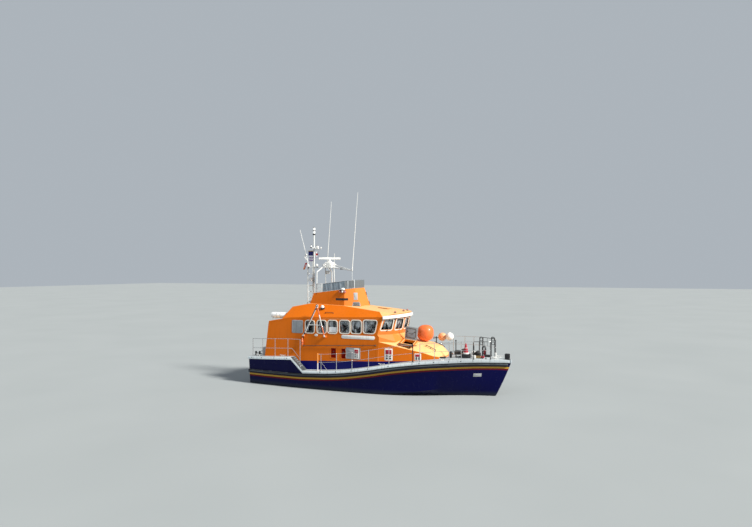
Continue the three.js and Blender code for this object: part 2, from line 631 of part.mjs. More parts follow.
function makeHatchLid() {
  const [aft, fore] = hatchHinge;
  const barrel = bar(
    onHatchHinge(HATCH.aftX + HATCH_LID.barrelIn), onHatchHinge(HATCH.foreX - HATCH_LID.barrelIn),
    HATCH_LID.barrel, 16,
  );
  const lid = join(hatchPlate(0, HATCH_LID.clear, HATCH_LID.clear + HATCH_LID.thick), barrel);
  const axis = new THREE.Vector3(fore[0] - aft[0], 0, fore[2] - aft[2]).normalize();
  const turn = new THREE.Matrix4().makeRotationAxis(axis, (-HATCH_LID.openAngle * Math.PI) / 180);
  return geometryOf(lid).translate(-aft[0], -aft[1], -aft[2]).applyMatrix4(turn).translate(...aft);
}
place("hatch_lid", makeHatchLid(), GREY_CANVAS);

// House
function houseLoft(inset) {
  const ring = (row) =>
    both([
      [row.x, 0, row.crownZ - inset],
      [row.x, row.shoulderHalf - inset * 0.6, row.shoulderZ - inset],
      [row.x, houseSideY(row.kneeZ - inset * 0.4) - inset, row.kneeZ - inset * 0.4],
      [row.x, houseSideY(HOUSE_BASE) - inset, HOUSE_BASE],
    ]).filter(firstOfItsPlace);
  return loft(HOUSE.map(ring));
}

function screenLevel(z, inset) {
  const [low, high] = z >= SCREEN_SILL.z ? [SCREEN_SILL, SCREEN_TOP] : [SCREEN_FOOT, SCREEN_SILL];
  const part = (z - low.z) / (high.z - low.z);
  const corners = low.corners.map(([x, y], i) => [
    x + (high.corners[i][0] - x) * part, y + (high.corners[i][1] - y) * part,
  ]);
  // The side's corner is run out past the wall, so that the loft alone makes the side
  return insetCorners(corners, inset);
}
const SCREEN_REACH = { out: 200, highZ: 4600, lowZ: 500 };
const screenRing = (z, inset) => {
  const [side, quarter, front] = screenLevel(z, inset);
  const run = SCREEN_REACH.out / Math.abs(side[1] - quarter[1]);
  const past = [side[0] - (quarter[0] - side[0]) * run, side[1] + SCREEN_REACH.out];
  return [past, quarter, front, [-FAR, past[1]]].flatMap(([x, y]) => [[x, -y, z], [x, y, z]]);
};

function screenPrism(inset) {
  const upper = hullOf([...screenRing(SCREEN_REACH.highZ, inset), ...screenRing(SCREEN_SILL.z, inset)]);
  const lower = hullOf([...screenRing(SCREEN_SILL.z, inset), ...screenRing(SCREEN_FOOT.z, inset)]);
  const foot = screenRing(SCREEN_FOOT.z, inset);
  const base = hullOf([...foot, ...foot.map(([x, y]) => [x, y, SCREEN_REACH.lowZ])]);
  return join(upper, lower, base);
}

const aftWallLean = (AFT_WALL.highX - AFT_WALL.lowX) / (AFT_WALL.highZ - AFT_WALL.lowZ);
const aftWallX = (z) => AFT_WALL.lowX + aftWallLean * (z - AFT_WALL.lowZ);
function houseSolid(inset) {
  const aft = [0, HIGH].map((z) => [aftWallX(z) + inset, z]);
  const profile = prismXZ([aft[0], [FAR, 0], [FAR, HIGH], aft[1]], -WIDE, WIDE);
  return houseLoft(inset).intersect(screenPrism(inset)).intersect(profile);
}

const houseShell = cut(houseSolid(0), houseSolid(WALL), underDeck);
const kneeBand = (lift) =>
  prismXZ(
    [...HOUSE.map((row) => [row.x, row.kneeZ + lift]), [FAR, HOUSE.at(-1).kneeZ + lift], [FAR, HIGH],
      [-FAR, HIGH], [-FAR, HOUSE[0].kneeZ + lift]],
    -WIDE, WIDE,
  );
const roof = houseShell.intersect(kneeBand(-ROOF_EDGE));
const walls = cut(houseShell, kneeBand(-ROOF_EDGE - GAP), trunkSolid(-2 * GAP, TRUNK_INSIDE.lowZ));

// Region inboard of the side walls' inner faces. The side panel loses a skim there, so no film is left.
const SKIM = 0.1;
const inboard = (less) =>
  prismYZ(
    [[-houseSideY(0) + WALL + less, 0], [houseSideY(0) - WALL - less, 0],
      [houseSideY(HIGH) - WALL - less, HIGH], [-houseSideY(HIGH) + WALL + less, HIGH]],
    -FAR, FAR,
  );
const sidePanel = cut(walls, inboard(SKIM), box(-FAR, FAR, 0, WIDE, 0, HIGH));
const endWalls = walls.intersect(inboard(GAP + SKIM));

function sideWindow({ aftX, foreX, footForeX, footZ, topZ }) {
  const corners = [[aftX, footZ], [footForeX, footZ], [foreX, topZ], [aftX, topZ]];
  return prismXZ(corners, -WIDE, -HELM.half, WINDOW_ROUND);
}
const windowedSide = cut(sidePanel, ...named(WINDOW_COLUMNS, SIDE_WINDOWS).map(sideWindow));

// Starboard side also carries the davit's two pairs of ears
function davitEars(x) {
  const profile = [[EAR.rootY, EAR.rootHalf], [DAVIT.y - EAR.past, EAR.tipHalf]];
  const ears = [-1, 1].map((side) =>
    hullOf([EAR.near, EAR.far].flatMap((out) =>
      profile.flatMap(([y, half]) => [-1, 1].map((up) => [x + side * out, y, DAVIT.footZ + up * half])),
    )),
  );
  const run = EAR.far * 1.5;
  const bore = bar([x - run, DAVIT.y, DAVIT.footZ], [x + run, DAVIT.y, DAVIT.footZ], DAVIT.bore, 12);
  return cut(join(...ears), bore, box(x - run, x + run, EAR.wallY, 0, 0, HIGH));
}
place("house_side_starboard", join(windowedSide, davitEars(DAVIT.aftX), davitEars(DAVIT.foreX)), ORANGE);
place("house_side_port", windowedSide, ORANGE).scale.y = -1;

// Panes of the windscreen, cut square to each facet
function paneCutters(depth) {
  const low = screenLevel(SCREEN_PANE.footZ, 0);
  const high = screenLevel(SCREEN_PANE.topZ, 0);
  const mirrored = (half) => [...half.map(([x, y]) => [x, -y]), ...half.toReversed()];
  const [lowRing, highRing] = [mirrored(low), mirrored(high)];
  return lowRing.slice(1).map((_, i) => {
    const at = (ring, z, k) => new THREE.Vector3(ring[k][0], ring[k][1], z);
    const [a, b] = [at(lowRing, SCREEN_PANE.footZ, i), at(lowRing, SCREEN_PANE.footZ, i + 1)];
    const [c, d] = [at(highRing, SCREEN_PANE.topZ, i), at(highRing, SCREEN_PANE.topZ, i + 1)];
    const across = b.clone().sub(a).normalize();
    const up = c.clone().add(d).sub(a).sub(b).normalize();
    const out = across.clone().cross(up).normalize();
    const flat = (p) => [p.clone().sub(a).dot(across), p.clone().sub(a).dot(up)];
    const edge = SCREEN_PANE.side;
    const inwards = [[a, edge], [b, -edge], [d, -edge], [c, edge]];
    const outline = inwards.map(([p, shift]) => [flat(p)[0] + shift, flat(p)[1]]);
    const basis = new THREE.Matrix4().makeBasis(across, up, out);
    const start = a.clone().addScaledVector(out, -depth / 2);
    return prism(outline, depth, new THREE.Matrix4().setPosition(start).multiply(basis), SCREEN_PANE.round);
  });
}
const frontWall = endWalls.intersect(box(0, FAR, -WIDE, WIDE, 0, HIGH));
place("windscreen_wall", cut(frontWall, ...paneCutters(WALL * 6)), ORANGE);

// Aft wall and its door, whose barrel turns in a groove at the starboard jamb
const jamb = (z) => [aftWallX(z), -DOOR.half, z];
const doorAxis = [DOOR.footZ + DOOR.barrelIn, DOOR.topZ - DOOR.barrelIn].map(jamb);
function doorPlate(clear, outer, inner) {
  const [low, high] = [DOOR.footZ + clear, DOOR.topZ - clear];
  return prismXZ(
    [[aftWallX(low) + outer, low], [aftWallX(low) + inner, low],
      [aftWallX(high) + inner, high], [aftWallX(high) + outer, high]],
    -DOOR.half + clear, DOOR.half - clear,
  );
}
const aftWallBody = endWalls.intersect(box(-FAR, 0, -WIDE, WIDE, 0, HIGH));
const jambGroove = bar(jamb(DOOR.footZ - WALL), jamb(DOOR.topZ + WALL), DOOR.groove, 16)
  .intersect(box(-FAR, 0, -WIDE, 0, DOOR.footZ, DOOR.topZ));
const doorway = join(doorPlate(0, -WALL * 3, WALL * 5), jambGroove);
place("house_aft_wall", cut(aftWallBody, doorway), ORANGE);
place("aft_door", join(doorPlate(DOOR.clear, 0, DOOR.thick), bar(...doorAxis, DOOR.barrel, 16)), ORANGE);

place("aft_roof", cut(roof, box(ROOF_SPLIT_X - GAP, FAR, -WIDE, WIDE, 0, HIGH)), ORANGE);
place("main_roof", cut(roof, box(-FAR, ROOF_SPLIT_X, -WIDE, WIDE, 0, HIGH)), ORANGE);

// Glazing: one strip a side and one behind the windscreen
const stripInset = WALL + GAP;
const sideStrip = prismXZ(GLASS_STRIP, -WIDE, 0).intersect(inboard(GAP));
placePair("side_glazing", cut(sideStrip, inboard(GAP + GLASS)), TINTED_GLASS);
const { aftX: screenAftX, half: screenHalf, lap: screenLap } = GLASS_SCREEN;
const screenStrip = cut(screenPrism(stripInset), screenPrism(stripInset + GLASS)).intersect(
  box(screenAftX, FAR, -screenHalf, screenHalf, SCREEN_PANE.footZ - screenLap, SCREEN_PANE.topZ + screenLap),
);
place("windscreen_glazing", screenStrip, TINTED_GLASS);

// Cabin sole and what stands on it
const soleTop = SOLE.bottomZ + SOLE.thick;
place("cabin_sole", box(SOLE.aftX, SOLE.foreX, -SOLE.half, SOLE.half, SOLE.bottomZ, soleTop), DECK_GREY);
const dash = prismXZ(
  [[HELM.aftX, soleTop + GAP], [HELM.foreX, soleTop + GAP], [HELM.foreX, HELM.foreZ],
    [HELM.crestX, HELM.crestZ], [HELM.aftX, HELM.aftZ]],
  -HELM.half, HELM.half,
);
place("helm_console", dash, DARK_METAL);
function makeSeat() {
  const { x, y, post: postRadius, half, cushionZ, cushionDeep, backZ } = SEAT;
  const [seatZ, backTop] = [soleTop + cushionZ, soleTop + backZ];
  // The back's profile: its foot at the cushion and its head, each from aft to fore
  const back = [[-half, half - 20, seatZ + 100], [-130, half, seatZ + 100], [-330, half - 40, backTop],
    [-250, half - 40, backTop]];
  return join(
    bar([x, y, soleTop + GAP], [x, y, seatZ + 20], postRadius, 8),
    box(x - half, x + half + 10, y - half, y + half, seatZ, seatZ + cushionDeep),
    hullOf(back.flatMap(([dx, across, z]) => [-1, 1].map((side) => [x + dx, y + side * across, z]))),
  );
}
placePair("helm_seat", makeSeat(), DARK_METAL);

// Upper steering position: a coaming open above, its canvas dodger, console and wheel
function bridgeRing(level, inset, z) {
  const [aft, side, front] = insetCorners(level.corners, inset);
  const heights = z ?? level.z;
  const at = (k) => (Array.isArray(heights) ? heights[k] : heights);
  const aftX = level.corners[0][0] + inset;
  return [[aftX, aft[1], at(0)], [side[0], side[1], at(1)], [front[0], front[1], at(2)]]
    .flatMap(([x, y, height]) => [[x, -y, height], [x, y, height]]);
}
const roofRaised = () => {
  const raised = HOUSE.map((row) =>
    both([
      [row.x, 0, row.crownZ + GAP],
      [row.x, row.shoulderHalf, row.shoulderZ + GAP],
      [row.x, houseSideY(row.kneeZ) + GAP, row.kneeZ],
      [row.x, houseSideY(HOUSE_BASE) + GAP, HOUSE_BASE],
    ]).filter(firstOfItsPlace),
  );
  return loft(raised);
};
const bridgeWell = (wall = BRIDGE_WALL) => {
  const high = BRIDGE_TOP.z.map((z) => z + BRIDGE_WELL.past);
  return hullOf([...bridgeRing(BRIDGE_BASE, wall, BRIDGE_WELL.footZ), ...bridgeRing(BRIDGE_TOP, wall, high)]);
};
const coamingRaised = () => {
  const lifted = BRIDGE_TOP.z.map((z) => z + GAP);
  const lip = hullOf([...bridgeRing(BRIDGE_TOP, 0, BRIDGE_LIP_Z), ...bridgeRing(BRIDGE_TOP, 0, lifted)]);
  return cut(lip, bridgeWell(BRIDGE_WALL + GAP));
};
function makeCoaming() {
  const outside = hullOf([...bridgeRing(BRIDGE_BASE, 0), ...bridgeRing(BRIDGE_TOP, 0)]);
  const { half, footZ, aftX, foreX } = BRIDGE_GATE;
  return cut(outside, bridgeWell(), roofRaised(), box(aftX, foreX, -half, half, footZ, HIGH));
}
place("flying_bridge_coaming", makeCoaming(), ORANGE);

// A level strip along the coaming's top, from aft at one side round the front to the other
function ribbon(corners, lowZ, highZ, thick) {
  const inner = insetCorners(corners, thick);
  const station = (k, side) => {
    const [ox, oy] = corners[k];
    const ix = k === 0 ? ox : inner[k][0];
    return [
      [ox, side * oy, lowZ[k]], [ox, side * oy, highZ[k]], [ix, side * inner[k][1], highZ[k]],
      [ix, side * inner[k][1], lowZ[k]],
    ];
  };
  const order = [[0, -1], [1, -1], [2, -1], [2, 1], [1, 1], [0, 1]];
  return loft(order.map(([k, side]) => station(k, side)));
}
function makeDodger() {
  const [aft, side, front] = insetCorners(BRIDGE_TOP.corners, DODGER.inset);
  const sternX = BRIDGE_TOP.corners[0][0];
  const cutBack = ((side[1] - aft[1]) * (DODGER.aftX - sternX)) / (side[0] - sternX);
  const band = ribbon([[DODGER.aftX, aft[1] + cutBack], side, front], DODGER.low, DODGER.high, DODGER.thick);
  return cut(band, coamingRaised());
}
place("flying_bridge_dodger", makeDodger(), GREY_CANVAS);

const consoleBody = prismXZ(
  [[CONSOLE.aftX, CONSOLE.footZ], [CONSOLE.foreX, CONSOLE.footZ], [CONSOLE.foreX, CONSOLE.topZ],
    [CONSOLE.aftX + CONSOLE.slope[0], CONSOLE.topZ], [CONSOLE.aftX, CONSOLE.topZ - CONSOLE.slope[1]]],
  -CONSOLE.half, CONSOLE.half,
);
const wheelLean = (WHEEL.lean * Math.PI) / 180;
const wheelAxis = [Math.cos(wheelLean), 0, -Math.sin(wheelLean)];
const onWheelAxis = (d) => [WHEEL.x + wheelAxis[0] * d, WHEEL.y, WHEEL.z + wheelAxis[2] * d];
place(
  "flying_bridge_console",
  cut(consoleBody, roofRaised(), bar(onWheelAxis(0), onWheelAxis(WHEEL.boreLength), WHEEL.bore, 12)),
  WHITE,
);
function makeWheel() {
  const rim = solid(new THREE.TorusGeometry(WHEEL.radius, WHEEL.rim, 6, 20).rotateY(Math.PI / 2));
  const hub = bar([-30, 0, 0], [30, 0, 0], WHEEL.hub, 12);
  const parts = [rim, hub, bar([0, 0, 0], [WHEEL.shaftLength, 0, 0], WHEEL.shaft, 12)];
  for (let i = 0; i < WHEEL.spokes; i += 1) {
    const angle = (i * 2 * Math.PI) / WHEEL.spokes + Math.PI / 2;
    const tip = [0, WHEEL.radius * Math.cos(angle), WHEEL.radius * Math.sin(angle)];
    parts.push(bar([0, 0, 0], tip, WHEEL.spoke));
  }
  return geometryOf(join(...parts)).rotateY(wheelLean).translate(WHEEL.x, WHEEL.y, WHEEL.z);
}
place("flying_bridge_wheel", makeWheel(), DARK_METAL);

// Brow over the windscreen
function makeBrow() {
  const outer = screenLevel(BROW.z, -BROW.proud);
  const inner = screenLevel(BROW.z, BROW.into);
  const station = (k, side) => [
    [inner[k][0], side * inner[k][1], BROW.low[k]], [inner[k][0], side * inner[k][1], BROW.high[k]],
    [outer[k][0], side * outer[k][1], BROW.high[k] - BROW.fall],
    [outer[k][0], side * outer[k][1], BROW.low[k] + BROW.rise],
  ];
  const order = [[0, -1], [1, -1], [2, -1], [2, 1], [1, 1], [0, 1]];
  const band = loft(order.map(([k, side]) => station(k, side)));
  const aftX = screenLevel(BROW.z, -GAP)[0][0] - BROW.lap;
  return cut(band.intersect(box(aftX, FAR, -BROW.half, BROW.half, 0, HIGH)), screenPrism(-GAP));
}
place("windscreen_brow", makeBrow(), WHITE);

// Mast, radar and aerials
function makeMast() {
  const tubes = named(MAST_TUBE_COLUMNS, MAST_TUBES).map(({ foot, head, radius }) => bar(foot, head, radius));
  const { aftX, foreX, half, bottomZ, topZ } = MAST_TABLE;
  const table = box(aftX, foreX, -half, half, bottomZ, topZ);
  const gearbox = box(
    GEARBOX.x - GEARBOX.halfX, GEARBOX.x + GEARBOX.halfX, -GEARBOX.half, GEARBOX.half, topZ - 5, GEARBOX.topZ,
  );
  const lantern = bar([LANTERN.x, 0, LANTERN.lowZ], [LANTERN.x, 0, LANTERN.highZ], LANTERN.radius);
  const boreAt = (z) => [GEARBOX.x, 0, z];
  const bore = bar(boreAt(GEARBOX.topZ - GEARBOX.boreDeep), boreAt(GEARBOX.topZ + 50), SCANNER.bore, 12);
  return cut(join(...tubes, table, gearbox, lantern), bore, roofRaised(), coamingRaised());
}
place("mast", makeMast(), STEEL);

function makeScanner() {
  const half = SCANNER.length / 2;
  const beam = prismYZ(
    [[-SCANNER.half, SCANNER.lowZ], [SCANNER.half, SCANNER.lowZ], [SCANNER.topHalf, SCANNER.highZ],
      [-SCANNER.topHalf, SCANNER.highZ]],
    -half, half,
  );
  const hub = bar([0, 0, GEARBOX.topZ + 6], [0, 0, SCANNER.lowZ + 5], SCANNER.hub, 12);
  const spindle = bar([0, 0, GEARBOX.topZ - SCANNER.spindleDeep], [0, 0, SCANNER.lowZ], SCANNER.spindle, 12);
  const turn = (SCANNER.turn * Math.PI) / 180;
  return geometryOf(join(beam, hub, spindle)).rotateZ(turn).translate(GEARBOX.x, 0, 0);
}
place("radar_scanner", makeScanner(), WHITE);

named(AERIAL_COLUMNS, AERIALS).forEach(({ name, foot, head, footRadius, headRadius }) => {
  place(name, bar(foot, head, footRadius, 6, headRadius), WHITE);
});

// Guard rails
const railY = (x) => -(along(HULL, "deckHalf", x) - RAIL_INSET);
const post = (x, y, height = RAIL_HEIGHT, radius = RAIL_RADIUS) =>
  bar([x, y, deckZ(x) - 40], [x, y, deckZ(x) + height], radius);
const barsAlong = (points, radius) => points.slice(1).map((to, i) => bar(points[i], to, radius));
const rail = (points, lift, radius) =>
  barsAlong(points.map(([x, y]) => [x, y, deckZ(x) + lift]), radius);
function sideRail(places, lifts, ...extras) {
  const line = places.map((x) => [x, railY(x)]);
  const posts = line.map(([x, y]) => post(x, y));
  return cut(join(...posts, ...lifts.flatMap((lift) => rail(line, lift, RAIL_BAR)), ...extras), underDeck);
}
function gatePost() {
  const [aftX, { braceX }] = [SIDE_POSTS[0], GATE];
  const head = [aftX, railY(aftX), deckZ(aftX) + GATE.braceZ];
  const foot = [braceX, railY(braceX), deckZ(braceX) - 20];
  return [post(GATE.postX, railY(GATE.postX), RAIL_HEIGHT, GATE.radius), bar(head, foot, RAIL_BAR)];
}
placePair("side_rail", sideRail([GATE.postX, ...SIDE_POSTS], [RAIL_MIDDLE, RAIL_TOP], ...gatePost()), STEEL);
placePair("bow_rail", sideRail(BOW_POSTS, [RAIL_MIDDLE, RAIL_TOP]), STEEL);
function makeAftRail() {
  const { height, middle, top, inset, endX, kneeX, braceZ } = AFT_RAIL;
  const at = (x, z) => [x, railY(x) + inset, z];
  const over = (lift) => AFT_POSTS.map((x) => at(x, deckZ(x) + lift));
  const lastX = AFT_POSTS.at(-1);
  const posts = AFT_POSTS.map((x) => post(x, railY(x) + inset, height));
  const end = bar(at(endX, deckZ(endX) - 40), at(endX, deckZ(lastX) + height), RAIL_RADIUS);
  const topBar = barsAlong([...over(top), at(endX, deckZ(lastX) + top)], AFT_RAIL.bar);
  const middleBar = [...over(middle), at(kneeX, deckZ(lastX) + middle), at(endX, braceZ)];
  return cut(join(...posts, end, ...topBar, ...barsAlong(middleBar, AFT_RAIL.bar)), underDeck);
}
placePair("aft_rail", makeAftRail(), STEEL);

// Liferaft canister in its cradle on the aft roof
function makeLiferaft() {
  const { aftX, foreX, y, z, radius, footIn, footHalf, footDeep } = LIFERAFT;
  const can = bar([aftX, y, z], [foreX, y, z], radius, 16);
  const feet = [aftX + footIn, foreX - footIn].map((x) =>
    box(x - footHalf, x + footHalf, y - radius - 5, y + radius + 5, z - radius - footDeep, z),
  );
  return cut(join(can, ...feet), roofRaised());
}
place("liferaft_canister", makeLiferaft(), WHITE);

// Recovery davit: an A-frame on pins through the ears of the starboard side
function makeDavit() {
  const { aftX, foreX, headX, y, footZ, headZ, tube, pin, boss, bossHalf, pinHalf, crossUp } = DAVIT;
  const legAt = (x, up) => [x + ((headX - x) * DAVIT.leanIn * up) / (headZ - footZ), y, footZ + up];
  const acrossFoot = (x, half, radius) => bar([x - half, y, footZ], [x + half, y, footZ], radius, 12);
  const feet = [aftX, foreX].flatMap((x) => [
    acrossFoot(x, bossHalf, boss), acrossFoot(x, pinHalf, pin),
    bar([x, y, footZ], legAt(x, headZ - footZ), tube),
  ]);
  const cross = bar(legAt(aftX, crossUp), legAt(foreX, crossUp), DAVIT.cross);
  const [hx, hy, hz] = DAVIT.headHalf;
  return join(...feet, cross, box(headX - hx, headX + hx, y - hy, y + hy, headZ - hz, headZ + hz));
}
place("recovery_davit", makeDavit(), STEEL);

// Ball fenders: a large one resting on the trunk, and two lashed inside the port bow rail
const LARGE_BALL = { x: 2660, radius: 430, sunk: 2 };
const BALL_COLUMNS = ["name", "x", "finish"];
const RAIL_BALLS = [
  ["ball_fender_orange", 3085, BRIGHT_ORANGE],
  ["ball_fender_white", 3540, WHITE],
];
const RAIL_BALL = { radius: 225, pressed: 6 };
const ballAt = (radius, x, y, z) =>
  solid(new THREE.SphereGeometry(radius, 14, 9).rotateX(Math.PI / 2).translate(x, y, z));
const onTrunk = along(TRUNK, "crownZ", LARGE_BALL.x) + LARGE_BALL.radius - LARGE_BALL.sunk;
place(
  "ball_fender_large", cut(ballAt(LARGE_BALL.radius, LARGE_BALL.x, 0, onTrunk), trunkSolid(-GAP, HOUSE_BASE)),
  BRIGHT_ORANGE,
);
const bowRailBars = join(...rail(BOW_POSTS.map((x) => [x, railY(x)]), RAIL_TOP, RAIL_BAR + GAP));
const bowRailLine = BOW_POSTS.map((x) => ({ x, y: railY(x) }));
named(BALL_COLUMNS, RAIL_BALLS).forEach(({ name, x, finish }) => {
  const y = along(bowRailLine, "y", x) + RAIL_BALL.radius + RAIL_BAR - RAIL_BALL.pressed;
  place(name, cut(ballAt(RAIL_BALL.radius, x, y, deckZ(x) + RAIL_TOP), bowRailBars), finish).scale.y = -1;
});

// Foredeck gear: towing bollard, anchor windlass, stowed anchor and the stem fairlead
function makeBollard() {
  const { x, baseX, baseY, base, postY, height, barZ, barHalf } = BOLLARD;
  const z = deckZ(x) + GAP;
  const posts = [-postY, postY].map((y) => bar([x, y, z + base - 5], [x, y, z + height], BOLLARD.post, 12));
  return join(
    box(x - baseX, x + baseX, -baseY, baseY, z, z + base), ...posts,
    bar([x, -barHalf, z + barZ], [x, barHalf, z + barZ], BOLLARD.bar, 10),
  );
}
place("towing_bollard", cut(makeBollard(), underDeck), DARK_METAL);
function makeWindlass() {
  const { x, aft, fore, half, height, drumHalf, drumZ, drum } = WINDLASS;
  const z = deckZ(x);
  const body = box(x - aft, x + fore, -half, half, z - 20, z + height);
  return cut(join(body, bar([x, -drumHalf, z + drumZ], [x, drumHalf, z + drumZ], drum, 12)), underDeck);
}
place("anchor_windlass", makeWindlass(), DARK_METAL);
function makeFairlead() {
  const { aftX, foreX, half, throat, lipZ, crestZ, throatZ, foot } = FAIRLEAD;
  const z = deckZ((aftX + foreX) / 2);
  const port = [[half, -foot], [half, lipZ], [throat, crestZ], [throat, throatZ]];
  const outline = [...port, ...port.toReversed().map(([y, up]) => [-y, up])];
  return cut(prismYZ(outline.map(([y, up]) => [y, z + up]), aftX, foreX), underDeck);
}
place("stem_fairlead", makeFairlead(), BLACK_RUBBER);

// Small flags flown at the mast
const FLAG_COLUMNS = ["name", "aftX", "foreX", "y", "lowZ", "highZ", "finish"];
const FLAGS = [
  ["flag_navy", -4420, -4083.4, -8, 7180, 7420, FLAG_NAVY],
  ["flag_white", -4016.6, -3730, -8, 7090, 7400, FLAG_WHITE],
  ["flag_red", -4600, -4314.7, -308, 6380, 6760, FLAG_RED],
];
named(FLAG_COLUMNS, FLAGS).forEach(({ name, aftX, foreX, y, lowZ, highZ, finish }) => {
  place(name, box(aftX, foreX, y, y + 16, lowZ, highZ), finish);
});

export default group;
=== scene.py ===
import math
from functools import lru_cache

import bpy
import numpy as np
from bpy.props import FloatProperty, FloatVectorProperty, PointerProperty
from mathutils import Matrix, Vector
from mathutils.bvhtree import BVHTree


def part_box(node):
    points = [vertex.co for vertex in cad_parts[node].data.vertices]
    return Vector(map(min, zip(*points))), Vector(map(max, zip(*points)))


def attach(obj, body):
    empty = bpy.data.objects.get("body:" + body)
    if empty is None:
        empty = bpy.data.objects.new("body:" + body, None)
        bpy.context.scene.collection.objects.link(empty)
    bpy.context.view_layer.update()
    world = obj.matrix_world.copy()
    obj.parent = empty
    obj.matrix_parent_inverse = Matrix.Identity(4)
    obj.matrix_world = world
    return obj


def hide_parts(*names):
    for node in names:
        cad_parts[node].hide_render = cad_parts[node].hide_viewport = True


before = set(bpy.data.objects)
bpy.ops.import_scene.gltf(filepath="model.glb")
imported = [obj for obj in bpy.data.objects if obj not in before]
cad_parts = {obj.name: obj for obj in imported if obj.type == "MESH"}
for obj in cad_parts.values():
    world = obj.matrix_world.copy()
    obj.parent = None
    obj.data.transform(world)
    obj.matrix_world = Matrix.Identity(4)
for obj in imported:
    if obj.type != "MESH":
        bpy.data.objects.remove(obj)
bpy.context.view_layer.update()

bl_info = {
    "name": "Rescue Lifeboat Looks",
    "version": (1, 0, 0),
    "blender": (4, 5, 0),
    "location": "3D View > Sidebar > Lifeboat",
    "description": "Models the finish and the fittings of an all-weather rescue lifeboat round its frame",
    "category": "Object",
}

# Camera, fitted to the boat: eye, heading from dead abeam, pitch and focal length
EYE = (12.68, -30.31, 6.35)
HEADING = 23.0
PITCH = 0.62
LENS = 28.72

UP = Vector((0, 0, 1))
AHEAD = Vector((1, 0, 0))
MIRROR = Matrix.Scale(-1, 4, (0, 1, 0))

# Steps in a pipe's bend and in a plate's rounded corner, and along a line at the deck's edge
ARC_STEPS = 4
EDGE_STEPS = 24


def colour(name, description, value):
    """A colour property with its linear default"""
    return FloatVectorProperty(
        name=name, description=description, default=value, size=3, min=0, max=1, subtype="COLOR"
    )


def length(name, description, value):
    """A length property in metres"""
    return FloatProperty(name=name, description=description, default=value, min=0, unit="LENGTH")


class LifeboatPaint(bpy.types.PropertyGroup):
    """Colours of the boat's finishes"""

    orange: colour("House orange", "Paint of the house and the upper steering position",
                   (0.68, 0.150, 0.004))
    navy: colour("Hull navy", "Paint of the topsides and of the house's foot", (0.001, 0.002, 0.100))
    gold: colour("Gold line", "Upper line under the rubbing strake", (0.46, 0.27, 0.04))
    crimson: colour("Red line", "Lower line under the rubbing strake", (0.12, 0.006, 0.014))
    bottom: colour("Bottom paint", "Paint below the waterline", (0.012, 0.014, 0.03))
    deck: colour("Deck grey", "Non-slip deck paint", (0.47, 0.52, 0.55))
    grey: colour("Panel grey", "Painted lockers, panels and the hatch lid", (0.33, 0.35, 0.37))
    white: colour("White", "White gelcoat and enamel", (0.78, 0.78, 0.76))
    card: colour("Bright white", "Liferaft shell and the notice in the window", (0.93, 0.95, 0.97))
    cream: colour("Frame cream", "Window frames", (0.76, 0.71, 0.62))
    black: colour("Black", "Rubber and dark fittings", (0.018, 0.019, 0.022))
    canvas: colour("Canvas grey", "Dodger", (0.27, 0.335, 0.395))
    vinyl: colour("Vinyl orange", "Inflated fenders and float covers", (0.86, 0.15, 0.02))
    red: colour("Red", "Recesses, sockets and lamps", (0.17, 0.004, 0.001))
    crimson_bright: colour("Bright red", "Fields of the signs and the cone on deck", (0.36, 0.012, 0.03))
    hatch_brown: colour("Hatch brown", "Rubber and lining round the hatch", (0.10, 0.06, 0.04))
    steel: colour("Steel", "Polished rails", (0.60, 0.61, 0.62))
    mast: colour("Mast grey", "Painted mast tubes", (0.66, 0.68, 0.68))
    bronze: colour("Bronze", "Propellers and rudders", (0.50, 0.32, 0.13))


class LifeboatSizes(bpy.types.PropertyGroup):
    """Sizes of the fittings that the frame leaves open"""

    frame_width: length("Window frame", "Width of a window's frame", 0.055)
    frame_proud: length("Frame height", "How far a frame stands off the wall", 0.016)
    handrail: length("Handrail tube", "Radius of the handrails on the house", 0.017)
    hull_edge: length("Moulded edge", "Rounding of the moulded edges", 0.018)


def paint():
    return bpy.context.scene.lifeboat_paint


def sizes():
    return bpy.context.scene.lifeboat_sizes


def tone(key):
    """One of the boat's colours, opaque"""
    return (*getattr(paint(), key), 1)


# Selecting and modelling

def select_only(*objects):
    bpy.ops.object.select_all(action="DESELECT")
    for item in objects:
        item.select_set(True)
    bpy.context.view_layer.objects.active = objects[0]


def settled(piece):
    """Puts an object's place into its mesh"""
    select_only(piece)
    bpy.ops.object.transform_apply(location=True, rotation=True, scale=True)
    return piece


def with_modifier(piece, kind, **settings):
    """Adds a modifier, sets it and applies it"""
    select_only(piece)
    modifier = piece.modifiers.new(kind.title(), kind)
    for key, value in settings.items():
        setattr(modifier, key, value)
    bpy.ops.object.modifier_apply(modifier=modifier.name)
    return piece


def bevelled(piece, width, segments=2, angle=30):
    return with_modifier(
        piece, "BEVEL", width=width, segments=segments, limit_method="ANGLE",
        angle_limit=math.radians(angle), use_clamp_overlap=True,
    )


def subdivided(piece):
    return with_modifier(piece, "SUBSURF", levels=1, render_levels=1)


def joined(parts):
    """One object from a list of parts, or the part itself"""
    if not isinstance(parts, list):
        return parts
    if len(parts) > 1:
        select_only(*parts)
        bpy.ops.object.join()
    return parts[0]


def block(low, high, edge=0.0, segments=2):
    """A box between two corners, with its edges rounded"""
    low, high = Vector(low), Vector(high)
    bpy.ops.mesh.primitive_cube_add(size=1, location=(low + high) / 2)
    piece = bpy.context.object
    piece.scale = high - low
    settled(piece)
    return bevelled(piece, edge, segments) if edge else piece


def rod(foot, head, radius, tip=None, sides=16, edge=0.0):
    """A straight round bar, or a taper when it has a tip"""
    foot, head = Vector(foot), Vector(head)
    span = head - foot
    bpy.ops.mesh.primitive_cone_add(
        vertices=sides, radius1=radius, radius2=radius if tip is None else tip, depth=span.length,
        location=(foot + head) / 2, rotation=span.to_track_quat("Z", "Y").to_euler(),
    )
    piece = settled(bpy.context.object)
    return bevelled(piece, edge) if edge else piece


